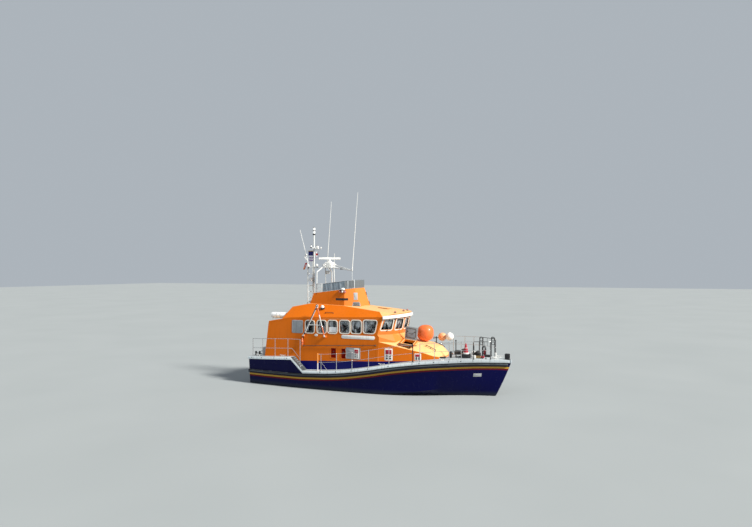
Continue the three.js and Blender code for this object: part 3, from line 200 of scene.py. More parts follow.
def upright(foot, low, high, *form, **more):
    """A round bar between two heights over a foot"""
    return rod(foot + UP * low, foot + UP * high, *form, **more)


def disc(low, high, *form, **more):
    """A round bar along z between two heights"""
    return rod((0, 0, low), (0, 0, high), *form, **more)


def ball(centre, radius, stretch=(1, 1, 1), segments=24, rings=14):
    bpy.ops.mesh.primitive_uv_sphere_add(segments=segments, ring_count=rings, radius=radius,
                                         location=centre)
    bpy.context.object.scale = stretch
    return settled(bpy.context.object)


def hoop(centre, radius, tube, axis=UP, segments=32, sides=10):
    """A torus round an axis"""
    bpy.ops.mesh.primitive_torus_add(
        location=centre, rotation=Vector(axis).to_track_quat("Z", "Y").to_euler(), major_radius=radius,
        minor_radius=tube, major_segments=segments, minor_segments=sides,
    )
    return settled(bpy.context.object)


def rounded_path(points, bend):
    """A path with its corners turned through arcs, no longer than half of the stretches beside them"""
    points = [Vector(p) for p in points]
    path = [points[0]]
    for before, corner, after in zip(points, points[1:], points[2:]):
        back, on = before - corner, after - corner
        reach = min(bend, back.length * 0.45, on.length * 0.45)
        a, b = corner + back.normalized() * reach, corner + on.normalized() * reach
        for k in range(ARC_STEPS + 1):
            t = k / ARC_STEPS
            path.append(a * (1 - t) ** 2 + corner * 2 * t * (1 - t) + b * t ** 2)
    return path + [points[-1]]


def pipe(points, radius, bend=0.0, sides=12):
    """A bent tube through points, made as a curve with a round section"""
    path = rounded_path(points, bend) if bend else [Vector(p) for p in points]
    curve = bpy.data.curves.new("pipe", "CURVE")
    curve.dimensions = "3D"
    curve.bevel_depth = radius
    curve.bevel_resolution = max(sides // 4 - 1, 0)
    curve.use_fill_caps = True
    spline = curve.splines.new("POLY")
    spline.points.add(len(path) - 1)
    for point, place in zip(spline.points, path):
        point.co = (*place, 1)
    piece = bpy.data.objects.new("pipe", curve)
    bpy.context.scene.collection.objects.link(piece)
    select_only(piece)
    bpy.ops.object.convert(target="MESH")
    return bpy.context.object


def moved(piece, matrix):
    piece.matrix_world = matrix @ piece.matrix_world
    return settled(piece)


def copied(piece, matrix=None):
    """A copy with its own mesh"""
    select_only(piece)
    bpy.ops.object.duplicate()
    twin = bpy.context.object
    return moved(twin, matrix) if matrix else twin


def plate(where, corners, thick, corner=0.0, edge=0.0, sunk=0.002, rim=0.0):
    """A flat plate, or a ring of width rim, on a place's own x and y, standing up along its z"""
    bpy.ops.mesh.primitive_plane_add(size=1)
    piece = bpy.context.object
    for vertex, (x, y) in zip(piece.data.vertices, (corners[0], corners[1], corners[3], corners[2])):
        vertex.co = (x, y, 0)
    bpy.ops.object.mode_set(mode="EDIT")
    bpy.ops.mesh.select_all(action="SELECT")
    if corner:
        bpy.ops.mesh.bevel(offset=corner, offset_type="OFFSET", segments=ARC_STEPS, affect="VERTICES")
    if rim:
        bpy.ops.mesh.select_all(action="SELECT")
        bpy.ops.mesh.inset(thickness=rim)
        bpy.ops.mesh.delete(type="FACE")
        bpy.ops.mesh.select_all(action="SELECT")
    bpy.ops.mesh.extrude_region_move(TRANSFORM_OT_translate={"value": (0, 0, thick)})
    bpy.ops.mesh.select_all(action="SELECT")
    bpy.ops.mesh.normals_make_consistent(inside=False)
    bpy.ops.object.mode_set(mode="OBJECT")
    if edge:
        bevelled(piece, edge, 2, angle=50)
    return moved(piece, where @ Matrix.Translation((0, 0, -sunk)))


def rectangle(width, height):
    """Corners of a rectangle round its middle"""
    w, h = width / 2, height / 2
    return [(-w, -h), (w, -h), (w, h), (-w, h)]


# Places on the frame

@lru_cache(maxsize=None)
def tree_of(node):
    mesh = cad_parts[node].data
    return BVHTree.FromPolygons([v.co for v in mesh.vertices], [p.vertices for p in mesh.polygons])


def hit(node, start, direction):
    """Point and outward normal where a ray meets a node"""
    point, normal, _, _ = tree_of(node).ray_cast(Vector(start), Vector(direction).normalized())
    if point is None:
        raise ValueError(f"nothing of {node} lies along the ray from {tuple(start)}")
    return point, normal if normal.dot(Vector(direction)) < 0 else -normal


def basis(point, normal, turn=0.0):
    """A place with z along the normal and y upwards, or to port where the normal is upright"""
    lead = UP if abs(normal.z) < 0.95 else Vector((0, 1, 0))
    y = (lead - normal * lead.dot(normal)).normalized()
    axes = Matrix((y.cross(normal), y, normal)).transposed().to_4x4()
    return Matrix.Translation(point) @ axes @ Matrix.Rotation(math.radians(turn), 4, "Z")


def on_side(x, z, node="house_side_starboard", turn=0.0):
    """A place on the starboard side of a node, seen from abeam"""
    return basis(*hit(node, (x, -5, z), (0, 1, 0)), turn)


def on_top(x, y, node):
    """A place on top of a node"""
    return basis(*hit(node, (x, y, 12), (0, 0, -1)))


def on_flank(x, z):
    """The outermost place on the starboard side of the house or the trunk"""
    found = []
    for node in ("house_side_starboard", "foredeck_trunk", "windscreen_wall", "main_roof"):
        point, normal, _, _ = tree_of(node).ray_cast(Vector((x, -5, z)), Vector((0, 1, 0)))
        if point:
            found.append((point.y, point, normal if normal.y < 0 else -normal))
    _, point, normal = min(found, key=lambda entry: entry[0])
    return basis(point, normal)


def facing(point, node, out=(0.55, -0.83, 0.0)):
    """A place on a node's front quarter, near a point"""
    out = Vector(out).normalized()
    return basis(*hit(node, Vector(point) + out * 2, -out))


def shifted(where, x=0.0, y=0.0, z=0.0):
    return where @ Matrix.Translation((x, y, z))


def put(where, *parts):
    """Moves parts that were made round the origin to a place"""
    return [moved(part, where) for part in parts]


@lru_cache(maxsize=None)
def deck_edge(x):
    """Half breadth of the hull at the deck, and the deck's height there"""
    height = on_top(x, -0.04 if x > 6.9 else -0.2, "deck").translation.z
    outer = hit("deck", (x, -5, height - 0.07), (0, 1, 0))[0]
    return -outer.y - 0.045, height


def at_rail(x, lift=0.0, inset=0.06):
    """A point over the deck's edge at starboard"""
    half, height = deck_edge(x)
    return Vector((x, -(half - inset), height + lift))


def refined(node, edge=0.0, segments=2, angle=30, flat=1.0):
    """A clean copy of a CAD node, with its edges rounded"""
    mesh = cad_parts[node].data.copy()
    mesh.materials.clear()
    piece = bpy.data.objects.new(node + "_finish", mesh)
    bpy.context.scene.collection.objects.link(piece)
    select_only(piece)
    if mesh.has_custom_normals:
        bpy.ops.mesh.customdata_custom_splitnormals_clear()
    bpy.ops.object.mode_set(mode="EDIT")
    bpy.ops.mesh.select_all(action="SELECT")
    bpy.ops.mesh.remove_doubles(threshold=0.0001)
    if flat:
        bpy.ops.mesh.dissolve_limited(angle_limit=math.radians(flat))
    bpy.ops.object.mode_set(mode="OBJECT")
    return bevelled(piece, edge, segments, angle) if edge else piece


def placed(parts, name, material, slot, body="boat", stands_for=(), smooth=35, weld=0.0001):
    """Finishes a piece: joined, closed, shaded, painted and riding on its body"""
    piece = joined(parts)
    select_only(piece)
    bpy.ops.object.mode_set(mode="EDIT")
    bpy.ops.mesh.select_all(action="SELECT")
    bpy.ops.mesh.remove_doubles(threshold=weld)
    bpy.ops.mesh.normals_make_consistent(inside=False)
    bpy.ops.object.mode_set(mode="OBJECT")
    bpy.ops.object.shade_smooth_by_angle(angle=math.radians(smooth))
    piece.name = piece.data.name = name
    piece.data.materials.clear()
    piece.data.materials.append(material)
    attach(piece, body)
    if stands_for:
        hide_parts(*stands_for)
    return piece


def finish_pair(parts, name, material, slot, stands_for="", smooth=35):
    """A starboard piece and its mirror image at port"""
    piece = joined(parts)
    twin = copied(piece, MIRROR)
    for made, side in ((piece, "_starboard"), (twin, "_port")):
        nodes = (stands_for + side,) if stands_for else ()
        placed(made, name + side, material, slot, stands_for=nodes, smooth=smooth)


# Material groups: what more than one finish uses

def new_group(name, inputs, outputs):
    """A shader node group with named inputs and outputs"""
    group = bpy.data.node_groups.new(name, "ShaderNodeTree")
    for label, kind, value in inputs:
        socket = group.interface.new_socket(label, in_out="INPUT", socket_type="NodeSocket" + kind)
        socket.default_value = value
    for label, kind in outputs:
        group.interface.new_socket(label, in_out="OUTPUT", socket_type="NodeSocket" + kind)
    return group, group.nodes.new("NodeGroupInput").outputs, group.nodes.new("NodeGroupOutput").inputs


class Wiring:
    """Adds nodes to a tree and links them"""

    def __init__(self, tree):
        self.tree = tree

    def node(self, kind, settings=None, **inputs):
        made = self.tree.nodes.new("ShaderNode" + kind)
        for key, value in (settings or {}).items():
            setattr(made, key, value)
        for key, value in inputs.items():
            self.feed(made.inputs[key.replace("_", " ")], value)
        return made

    def feed(self, socket, value):
        if isinstance(value, bpy.types.NodeSocket):
            self.tree.links.new(value, socket)
        else:
            socket.default_value = value

    def place(self):
        """Where a point lies on the boat"""
        return self.node("TexCoord").outputs["Object"]

    def axes(self, vector):
        """The three parts of a vector"""
        return self.node("SeparateXYZ", Vector=vector).outputs

    def math(self, operation, *values, clamp=False):
        made = self.tree.nodes.new("ShaderNodeMath")
        made.operation = operation
        made.use_clamp = clamp
        for socket, value in zip(made.inputs, values):
            self.feed(socket, value)
        return made.outputs[0]

    def blend(self, factor, first, second, kind="MIX"):
        made = self.tree.nodes.new("ShaderNodeMix")
        made.data_type = "RGBA"
        made.blend_type = kind
        for socket, value in zip((made.inputs[0], made.inputs[6], made.inputs[7]), (factor, first, second)):
            self.feed(socket, value)
        return made.outputs[2]

    def between(self, value, low, high):
        """One where a value lies between two others, else nothing"""
        return self.math("MULTIPLY", self.math("GREATER_THAN", value, low),
                         self.math("LESS_THAN", value, high))

    def spread(self, value, low, high, to_low=0.0, to_high=1.0):
        made = self.node("MapRange", {"clamp": True}, Value=value)
        for key, bound in zip(("From Min", "From Max", "To Min", "To Max"), (low, high, to_low, to_high)):
            self.feed(made.inputs[key], bound)
        return made.outputs[0]

    def noise(self, vector, scale, detail=3.0):
        return self.node("TexNoise", Vector=vector, Scale=scale, Detail=detail).outputs["Fac"]

    def stretched(self, vector, scale):
        return self.node("Mapping", Vector=vector, Scale=scale).outputs[0]


def make_sea_wear():
    """Fading, rain streaks, salt bloom and fine pitting over a paint"""
    group, given, out = new_group(
        "Sea wear",
        [("Color", "Color", (1, 1, 1, 1)), ("Stain", "Color", (0.1, 0.07, 0.05, 1)),
         ("Streaks", "Float", 0.25),
         ("Fade", "Float", 0.2), ("Roughness", "Float", 0.35), ("Size", "Float", 1.0)],
        [("Color", "Color"), ("Roughness", "Float"), ("Height", "Float")],
    )
    w = Wiring(group)
    place = w.place()
    cloud = w.noise(place, w.math("MULTIPLY", given["Size"], 0.9), 5.0)
    patch = w.noise(place, w.math("MULTIPLY", given["Size"], 5.5), 6.0)
    drips = w.noise(w.stretched(place, (7.0, 7.0, 0.45)), w.math("MULTIPLY", given["Size"], 1.6), 4.0)
    pits = w.noise(place, w.math("MULTIPLY", given["Size"], 95.0), 2.0)
    fade = w.math("MULTIPLY", w.spread(cloud, 0.35, 0.68), given["Fade"])
    lighter = w.blend(1.0, given["Color"], (1.35, 1.35, 1.35, 1), "MULTIPLY")
    faded = w.blend(fade, given["Color"], w.blend(0.12, lighter, (0.8, 0.78, 0.74, 1)))
    streak = w.math("MULTIPLY", w.spread(drips, 0.52, 0.74), given["Streaks"])
    grime = w.math("MULTIPLY", w.spread(patch, 0.5, 0.8), w.math("MULTIPLY", given["Streaks"], 0.5))
    stain = w.math("ADD", streak, grime, clamp=True)
    w.feed(out["Color"], w.blend(stain, faded, given["Stain"]))
    rough = w.math("ADD", given["Roughness"], w.math("MULTIPLY", stain, 0.35))
    w.feed(out["Roughness"], w.math("ADD", rough, w.spread(patch, 0.3, 0.7, -0.05, 0.09), clamp=True))
    w.feed(out["Height"], w.math("ADD", w.math("MULTIPLY", pits, 0.35), patch))
    return group


def make_non_slip():
    """The sharp grit of a deck paint"""
    group, given, out = new_group(
        "Non slip", [("Scale", "Float", 260.0)], [("Height", "Float"), ("Shade", "Float")]
    )
    w = Wiring(group)
    place = w.place()
    grit = w.node("TexVoronoi", Vector=place, Scale=given["Scale"]).outputs["Distance"]
    w.feed(out["Height"], w.spread(grit, 0.0, 0.6, 1.0, 0.0))
    w.feed(out["Shade"], w.spread(grit, 0.1, 0.7, 0.92, 1.05))
    return group


def make_weave():
    """Crossed threads on the cloth's own map"""
    group, given, out = new_group(
        "Weave", [("Threads", "Float", 400.0)], [("Height", "Float"), ("Shade", "Float")]
    )
    w = Wiring(group)
    cloth = w.node("TexCoord").outputs["UV"]
    bands = [
        w.node("TexWave", {"bands_direction": way}, Vector=cloth, Scale=given["Threads"]).outputs["Fac"]
        for way in ("X", "Y")
    ]
    threads = w.math("MULTIPLY", *bands)
    w.feed(out["Height"], threads)
    w.feed(out["Shade"], w.spread(threads, 0.0, 1.0, 0.86, 1.06))
    return group


GROUPS = {}


def build_groups():
    GROUPS.update(wear=make_sea_wear(), grit=make_non_slip(), weave=make_weave())


# Materials

def new_material(name):
    """A material, its wiring and its shader"""
    material = bpy.data.materials.new(name)
    material.use_nodes = True
    return material, Wiring(material.node_tree), material.node_tree.nodes["Principled BSDF"]


def group_node(w, group, **inputs):
    made = w.node("Group", {"node_tree": GROUPS[group]})
    for key, value in inputs.items():
        w.feed(made.inputs[key], value)
    return made.outputs


def set_sockets(shader, **values):
    """Values that are the same all over a surface, on the shader's own sockets"""
    for key, value in values.items():
        shader.inputs[key.replace("_", " ")].default_value = value


def bump(w, shader, height, strength, distance):
    made = w.node("Bump", Height=height, Strength=strength, Distance=distance)
    w.feed(shader.inputs["Normal"], made.outputs[0])


def worn(w, shader, base, rough, streaks=0.25, fade=0.2, stain=(0.09, 0.07, 0.055, 1), size=1.0,
         dents=0.0006):
    """Feeds a shader from the sea wear group"""
    out = group_node(
        w, "wear", Color=base, Stain=stain, Streaks=streaks, Fade=fade, Roughness=rough, Size=size
    )
    w.feed(shader.inputs["Base Color"], out["Color"])
    w.feed(shader.inputs["Roughness"], out["Roughness"])
    bump(w, shader, out["Height"], 0.35, dents)
    return out


@lru_cache(maxsize=None)
def enamel(key, rough=0.38, streaks=0.2, fade=0.15, metallic=0.0, coat=0.0, shine=0.3):
    """A plain paint in one of the boat's colours"""
    material, w, shader = new_material(f"{key} enamel {rough} {metallic} {shine}")
    worn(w, shader, tone(key), rough, streaks, fade)
    set_sockets(shader, Metallic=metallic, Coat_Weight=coat, Specular_IOR_Level=shine)
    return material


NAVY_FOOT = {"aft": (-3.81, 1.42), "fore": (1.86, 1.69), "past": 0.7, "half": 0.9}


@lru_cache(maxsize=None)
def house_paint():
    """Orange with a painted highlight on faces turned up or ahead, and the navy foot below a rising line
    along the side decks
    """
    material, w, shader = new_material("house orange")
    x, y, z = w.axes(w.place())
    (ax, az), (fx, fz) = NAVY_FOOT["aft"], NAVY_FOOT["fore"]
    slope = (fz - az) / (fx - ax)
    line = w.math("MULTIPLY_ADD", x, slope, az - slope * ax)
    low = w.math("MULTIPLY", w.math("LESS_THAN", z, line), w.math("LESS_THAN", x, fx + NAVY_FOOT["past"]))
    low = w.math("MULTIPLY", low, w.math("GREATER_THAN", w.math("ABSOLUTE", y), NAVY_FOOT["half"]))
    # Faces turned up, and more so when also turned ahead, are painted a paler, yellower orange: a painted
    # highlight of the key light falling on them
    ahead, _, level = w.axes(w.node("NewGeometry").outputs["Normal"])
    tread_and_lit_top = w.spread(w.math("MULTIPLY_ADD", ahead, 0.3, level), 0.80, 0.90, 0.0, 0.9)
    painted_highlight = w.math("MAXIMUM", tread_and_lit_top, w.spread(ahead, 0.35, 0.5, 0.0, 0.15))
    orange = w.blend(painted_highlight, tone("orange"), (0.86, 0.54, 0.24, 1))
    base = w.blend(low, orange, tone("navy"))
    stain = w.blend(low, (0.22, 0.06, 0.01, 1), (0.004, 0.004, 0.04, 1))
    worn(w, shader, base, 0.34, streaks=0.12, fade=0.05, stain=stain)
    set_sockets(shader, Coat_Weight=0.03, Coat_Roughness=0.18, Specular_IOR_Level=0.12)
    return material


# Heights of the painted lines over the strake's lower edge, negative as they lie under it
GOLD_LINE = (-0.125, -0.035)
RED_LINE = (-0.205, -0.125)
WATER_LINE = 0.05


@lru_cache(maxsize=None)
def hull_paint():
    """Navy topsides with the two lines that follow the sheer, over dark bottom paint"""
    material, w, shader = new_material("hull navy")
    place = w.place()
    height = w.axes(place)[2]
    drop = w.node("Attribute", {"attribute_name": "sheer_drop"}).outputs["Fac"]
    deep = w.blend(0.55, tone("navy"), (0, 0, 0, 1))
    base = w.blend(w.between(drop, *RED_LINE), deep, tone("crimson"))
    base = w.blend(w.between(drop, *GOLD_LINE), base, tone("gold"))
    ragged = w.math("MULTIPLY_ADD", w.noise(place, 2.6, 5.0), 0.05, WATER_LINE - 0.025)
    slime = w.math("MULTIPLY", w.spread(w.math("SUBTRACT", height, ragged), 0.22, 0.0), 0.55)
    base = w.blend(slime, base, (0.035, 0.045, 0.035, 1))
    base = w.blend(w.math("LESS_THAN", height, WATER_LINE), base, tone("bottom"))
    worn(w, shader, base, 0.2, streaks=0.12, fade=0.0, stain=(0.015, 0.015, 0.05, 1), size=0.8)
    set_sockets(shader, Coat_Weight=0.04, Coat_Roughness=0.08, Specular_IOR_Level=0.1)
    return material


@lru_cache(maxsize=None)
def deck_paint():
    """Pale grey and gritty where it is walked on, dark on the ramps, smooth and paler on upright edges,
    with painted shade darkening those edges towards the bow
    """
    material, w, shader = new_material("deck grey")
    ahead, _, level = w.axes(w.node("NewGeometry").outputs["Normal"])
    tread_and_lit_top = w.math("GREATER_THAN", level, 0.3)
    ramp = w.math("MULTIPLY", tread_and_lit_top, w.between(ahead, 0.3, 0.95))
    along = w.axes(w.place())[0]
    # Upright edges go from pale aft to darker towards the bow: painted shade that evens out the key light
    # falling on the bow
    edge = w.blend(w.spread(along, 1.5, 5.0), (0.80, 0.88, 0.92, 1), (0.36, 0.41, 0.45, 1))
    base = w.blend(tread_and_lit_top, edge, tone("deck"))
    base = w.blend(ramp, base, (0.055, 0.068, 0.078, 1))
    grit = group_node(w, "grit", Scale=240.0)
    out = group_node(
        w, "wear", Color=base, Stain=(0.13, 0.12, 0.10, 1), Streaks=0.35, Fade=0.1, Roughness=0.62, Size=1.3
    )
    shade = w.math("MULTIPLY_ADD", w.math("SUBTRACT", grit["Shade"], 1.12), tread_and_lit_top, 1.0)
    w.feed(shader.inputs["Base Color"], w.blend(1.0, out["Color"], shade, "MULTIPLY"))
    w.feed(shader.inputs["Roughness"], out["Roughness"])
    rise = w.math("ADD", w.math("MULTIPLY", grit["Height"], tread_and_lit_top), w.math("MULTIPLY", out["Height"], 0.2))
    bump(w, shader, rise, 0.5, 0.0015)
    return material


@lru_cache(maxsize=None)
def rubber():
    """Scuffed black rubber with a greyed bloom"""
    material, w, shader = new_material("black rubber")
    worn(w, shader, tone("black"), 0.72, streaks=0.5, fade=0.1, stain=(0.09, 0.095, 0.1, 1), size=2.2,
         dents=0.0015)
    return material


# Heights of the pale scuffed strip over the strake's lower edge
SCUFF_STRIP = (0.085, 0.125)


@lru_cache(maxsize=None)
def strake_rubber():
    """Black rubber with a pale strip along its middle, scuffed by quays"""
    material, w, shader = new_material("strake rubber")
    drop = w.node("Attribute", {"attribute_name": "sheer_drop"}).outputs["Fac"]
    ragged = w.noise(w.stretched(w.place(), (0.6, 3.0, 3.0)), 1.4, 4.0)
    strip = w.math("MULTIPLY", w.between(drop, *SCUFF_STRIP), w.spread(ragged, 0.35, 0.6, 0.35, 1.0))
    base = w.blend(strip, tone("black"), (0.11, 0.13, 0.15, 1))
    worn(w, shader, base, 0.7, streaks=0.2, fade=0.0, stain=(0.03, 0.033, 0.04, 1), size=2.2, dents=0.0015)
    set_sockets(shader, Specular_IOR_Level=0.2)
    return material


@lru_cache(maxsize=None)
def polished_steel():
    material, w, shader = new_material("polished steel")
    place = w.place()
    tea = w.spread(w.noise(place, 7.0, 6.0), 0.55, 0.78, 0.0, 0.35)
    w.feed(shader.inputs["Base Color"], w.blend(tea, tone("steel"), (0.32, 0.2, 0.12, 1)))
    w.feed(shader.inputs["Roughness"], w.spread(w.noise(place, 26.0, 4.0), 0.3, 0.75, 0.16, 0.36))
    set_sockets(shader, Metallic=0.85)
    bump(w, shader, w.noise(place, 160.0, 2.0), 0.1, 0.0005)
    return material


@lru_cache(maxsize=None)
def cast_bronze():
    material, w, shader = new_material("cast bronze")
    worn(w, shader, tone("bronze"), 0.38, streaks=0.45, fade=0.0, stain=(0.11, 0.2, 0.15, 1), size=2.5,
         dents=0.002)
    set_sockets(shader, Metallic=0.9)
    return material


@lru_cache(maxsize=None)
def dark_glass(name, tint, see_through):
    """Toughened glass: a dark tint under pale patches of painted sky reflection, which still shows the
    wheelhouse
    """
    material, w, shader = new_material(name)
    place = w.place()
    smear = w.noise(w.stretched(place, (2.0, 2.0, 1.0)), 2.4, 5.0)
    # Pale, more opaque patches over the tint: painted reflection of the sky
    painted_reflection = w.spread(w.noise(w.stretched(place, (3.4, 3.4, 1.5)), 1.7, 2.0), 0.42, 0.60)
    w.feed(shader.inputs["Base Color"], w.blend(painted_reflection, tint, (0.50, 0.56, 0.60, 1)))
    w.feed(shader.inputs["Roughness"], w.spread(smear, 0.35, 0.75, 0.02, 0.09))
    w.feed(shader.inputs["Alpha"], w.math("MULTIPLY_ADD", painted_reflection, 0.55, 0.98 - see_through))
    set_sockets(shader, Specular_IOR_Level=0.7)
    return material


POLE_BAND = 1.42


@lru_cache(maxsize=None)
def banded_pole():
    """White enamel with an orange upper end"""
    material, w, shader = new_material("banded pole")
    height = w.axes(w.place())[2]
    base = w.blend(w.math("GREATER_THAN", height, POLE_BAND), (0.62, 0.58, 0.60, 1), (0.85, 0.30, 0.05, 1))
    worn(w, shader, base, 0.4, streaks=0.35, fade=0.1)
    return material


@lru_cache(maxsize=None)
def lamp_lens(name, tint, glow=0.0):
    """The moulded lens of a lamp, ribbed round its height"""
    material, w, shader = new_material(name)
    height = w.axes(w.place())[2]
    ribs = w.math("SINE", w.math("MULTIPLY", height, 520.0))
    w.feed(shader.inputs["Base Color"],
           w.blend(w.spread(ribs, -1.0, 1.0, 0.0, 0.3), tint, (0.9, 0.9, 0.9, 1)))
    w.feed(shader.inputs["Roughness"], w.spread(ribs, -1.0, 1.0, 0.08, 0.2))
    bump(w, shader, ribs, 0.3, 0.001)
    set_sockets(shader, Emission_Color=tint, Emission_Strength=glow)
    return material


@lru_cache(maxsize=None)
def cloth(name, tint, threads, patches=(), soiled=0.3):
    """Woven cloth; a patch is another colour across a stretch of the cloth's map"""
    material, w, shader = new_material(name)
    weave = group_node(w, "weave", Threads=threads)
    base = tint
    u, v, _ = w.axes(w.node("TexCoord").outputs["UV"])
    for across, up, other in patches:
        base = w.blend(w.math("MULTIPLY", w.between(u, *across), w.between(v, *up)), base, other)
    place = w.place()
    dirt = w.spread(w.noise(place, 4.0, 6.0), 0.45, 0.8, 0.0, soiled)
    w.feed(shader.inputs["Base Color"],
           w.blend(1.0, w.blend(dirt, base, (0.12, 0.12, 0.11, 1)), weave["Shade"], "MULTIPLY"))
    w.feed(shader.inputs["Roughness"], w.spread(weave["Height"], 0.0, 1.0, 0.88, 0.76))
    bump(w, shader, weave["Height"], 0.5, 0.0012)
    set_sockets(shader, Sheen_Weight=0.05)
    return material


@lru_cache(maxsize=None)
def inflated(name, tint, scuffs=0.3, mottle=None):
    """Vinyl or covered foam, with scuffs and a soft gloss"""
    material, w, shader = new_material(name)
    place = w.place()
    base = tint
    if mottle:
        cells = w.node("TexVoronoi", Vector=place, Scale=14.0).outputs["Distance"]
        base = w.blend(w.spread(cells, 0.18, 0.42), tint, mottle)
    worn(w, shader, base, 0.42, streaks=scuffs, fade=0.25, stain=(0.2, 0.13, 0.1, 1), size=3.0,
         dents=0.0016)
    set_sockets(shader, Coat_Weight=0.2)
    return material


# Hull and deck

def add_sheer_drop(piece):
    """Stores each point's height over the strake's lower edge, for the painted lines"""
    strake = np.array([v.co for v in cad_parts["rubbing_strake_starboard"].data.vertices])
    stations = np.unique(np.round(strake[:, 0], 3))
    lowest = [strake[np.abs(strake[:, 0] - x) < 0.002][:, 2].min() for x in stations]
    places = np.array([v.co for v in piece.data.vertices])
    drop = places[:, 2] - np.interp(places[:, 0], stations, lowest)
    attribute = piece.data.attributes.new("sheer_drop", "FLOAT", "POINT")
    attribute.data.foreach_set("value", drop.astype(np.float32))


class LIFEBOAT_OT_hull(bpy.types.Operator):
    """Hull shell with its painted lines, and the rubbing strakes"""

    bl_idname = "lifeboat.hull"
    bl_label = "Hull and strakes"

    def execute(self, context):
        shell = refined("hull", flat=0)
        add_sheer_drop(shell)
        placed(shell, "hull_shell", hull_paint(), "hull_paint", stands_for=("hull",), smooth=28)
        for side in ("starboard", "port"):
            strake = refined("rubbing_strake_" + side, sizes().hull_edge, 3, angle=25, flat=0)
            add_sheer_drop(strake)
            placed(strake, "strake_" + side, strake_rubber(), "black_rubber",
                   stands_for=("rubbing_strake_" + side,))
        return {"FINISHED"}


RAMP = {"aft": -4.16, "pitch": 0.105, "treads": 5}


def deck_at(x, y):
    return on_top(x, y, "deck").translation


class LIFEBOAT_OT_deck(bpy.types.Operator):
    """Deck plate with its rolled edge, and the treads on its ramps"""

    bl_idname = "lifeboat.deck"
    bl_label = "Deck"

    def execute(self, context):
        deck = refined("deck", 0.012, 2, angle=40, flat=0)
        placed(deck, "deck_plate", deck_paint(), "deck_paint", stands_for=("deck",), smooth=30)
        treads = []
        for k in range(RAMP["treads"]):
            tread = block((-0.014, -0.13, -0.004), (0.014, 0.13, 0.014), 0.004)
            treads.append(moved(tread, Matrix.Translation(deck_at(RAMP["aft"] + RAMP["pitch"] * k, -1.95))))
        finish_pair(treads, "ramp_treads", enamel("grey", 0.5), "rail_steel")
        return {"FINISHED"}


# House

HOUSE_NODES = (
    "house_side_starboard", "house_side_port", "windscreen_wall", "house_aft_wall", "aft_roof", "main_roof",
    "foredeck_trunk", "flying_bridge_coaming",
)
# Upper aft, lower aft, lower fore and upper fore corners of the roof's front quarter
ROOF_QUARTER = ((0.600, -1.400, 4.180), (0.600, -1.700, 3.910), (0.902, -1.699, 3.920),
                (1.385, -1.255, 4.081))


class LIFEBOAT_OT_house(bpy.types.Operator):
    """Orange panels of the house, roofs, trunk and upper coaming, with rounded edges"""

    bl_idname = "lifeboat.house"
    bl_label = "House panels"

    def execute(self, context):
        for node in HOUSE_NODES:
            curved = node == "foredeck_trunk"
            panel = refined(node, sizes().hull_edge, 3 if curved else 6, angle=20)
            placed(panel, node + "_panel", house_paint(), "house_paint", stands_for=(node,),
                   smooth=25 if curved else 14)
            with_modifier(panel, "WEIGHTED_NORMAL", keep_sharp=True)
        a, b, c, d = (Vector(corner) for corner in ROOF_QUARTER)
        facets = []
        for corners in ((a, b, c, a.lerp(c, 0.5)), (a, c, c.lerp(d, 0.5), d)):
            where, flat = facet(corners)
            facets.append(plate(where, flat, 0.012, sunk=0.009))
        finish_pair(facets, "roof_quarter_facet", house_paint(), "house_paint")
        return {"FINISHED"}


# Windows

SIDE_WINDOWS = (  # aft edge, fore edge, fore edge at the foot, foot, top
    (-3.62, -3.09, -3.09, 2.950, 3.600), (-2.90, -2.37, -2.37, 2.965, 3.620),
    (-2.25, -1.715, -1.715, 2.985, 3.640),
    (-1.55, -0.98, -0.98, 3.010, 3.665), (-0.88, -0.31, -0.31, 3.030, 3.690),
    (-0.17, 0.60, 0.45, 3.060, 3.720),
)
SCREEN_SILL = (3.00, ((0.620, -1.724), (1.235, -1.150), (1.460, -0.350)))
SCREEN_TOP = (3.92, ((0.890, -1.700), (1.440, -1.160), (1.665, -0.360)))
PANE = {"inset": 0.105, "foot": 3.235, "top": 3.79, "corner": 0.07}
SILL_BOARD = {"inset": 0.045, "foot": 3.085, "top": 3.26}


def house_half(z):
    """Half breadth of the house's flat side at a height"""
    return 1.780 - (z - 0.9) * 0.08 / 3


def facet(corners):
    """The place in the middle of four corners, foot first, and those corners on it"""
    corners = [Vector(c) for c in corners]
    x = (corners[1] - corners[0]).normalized()
    normal = x.cross(corners[3] - corners[0]).normalized()
    y = normal.cross(x)
    centre = sum(corners, Vector()) / 4
    where = Matrix.Translation(centre) @ Matrix((x, y, normal)).transposed().to_4x4()
    return where, [((c - centre).dot(x), (c - centre).dot(y)) for c in corners]


def grown(corners, by):
    """A flat shape with each edge moved outwards by the same width"""
    corners = [Vector(c) for c in corners]
    result = []
    for before, at, after in zip(corners[-1:] + corners[:-1], corners, corners[1:] + corners[:1]):
        a, b = (at - before).normalized(), (after - at).normalized()
        na, nb = Vector((a.y, -a.x)), Vector((b.y, -b.x))
        result.append(at + (na + nb) * by / (1 + na.dot(nb)))
    return result


def screen_corner(k, z):
    """A point on the k-th upright edge of the windscreen, to starboard"""
    (low, sill), (high, top) = SCREEN_SILL, SCREEN_TOP
    x, y = Vector(sill[k]).lerp(Vector(top[k]), (z - low) / (high - low))
    return Vector((x, y, z))


def side_panes():
    """Four corners of each starboard side window"""
    for aft, fore, fore_foot, foot, top in SIDE_WINDOWS:
        yield [
            (x, -house_half(z), z) for x, z in ((aft, foot), (fore_foot, foot), (fore, top), (aft, top))
        ]


def screen_panes(shape=PANE):
    """Four corners of each windscreen pane, or sill board, from starboard to the middle one"""
    edges = [[screen_corner(k, z) for k in range(3)] for z in (shape["foot"], shape["top"])]
    for edge in edges:
        edge.append(Vector((edge[2].x, -edge[2].y, edge[2].z)))
    for k in range(3):
        (a, b), (c, d) = (edges[0][k], edges[0][k + 1]), (edges[1][k], edges[1][k + 1])
        foot, top = (b - a).normalized() * shape["inset"], (d - c).normalized() * shape["inset"]
        yield [a + foot, b - foot, d - top, c + top]


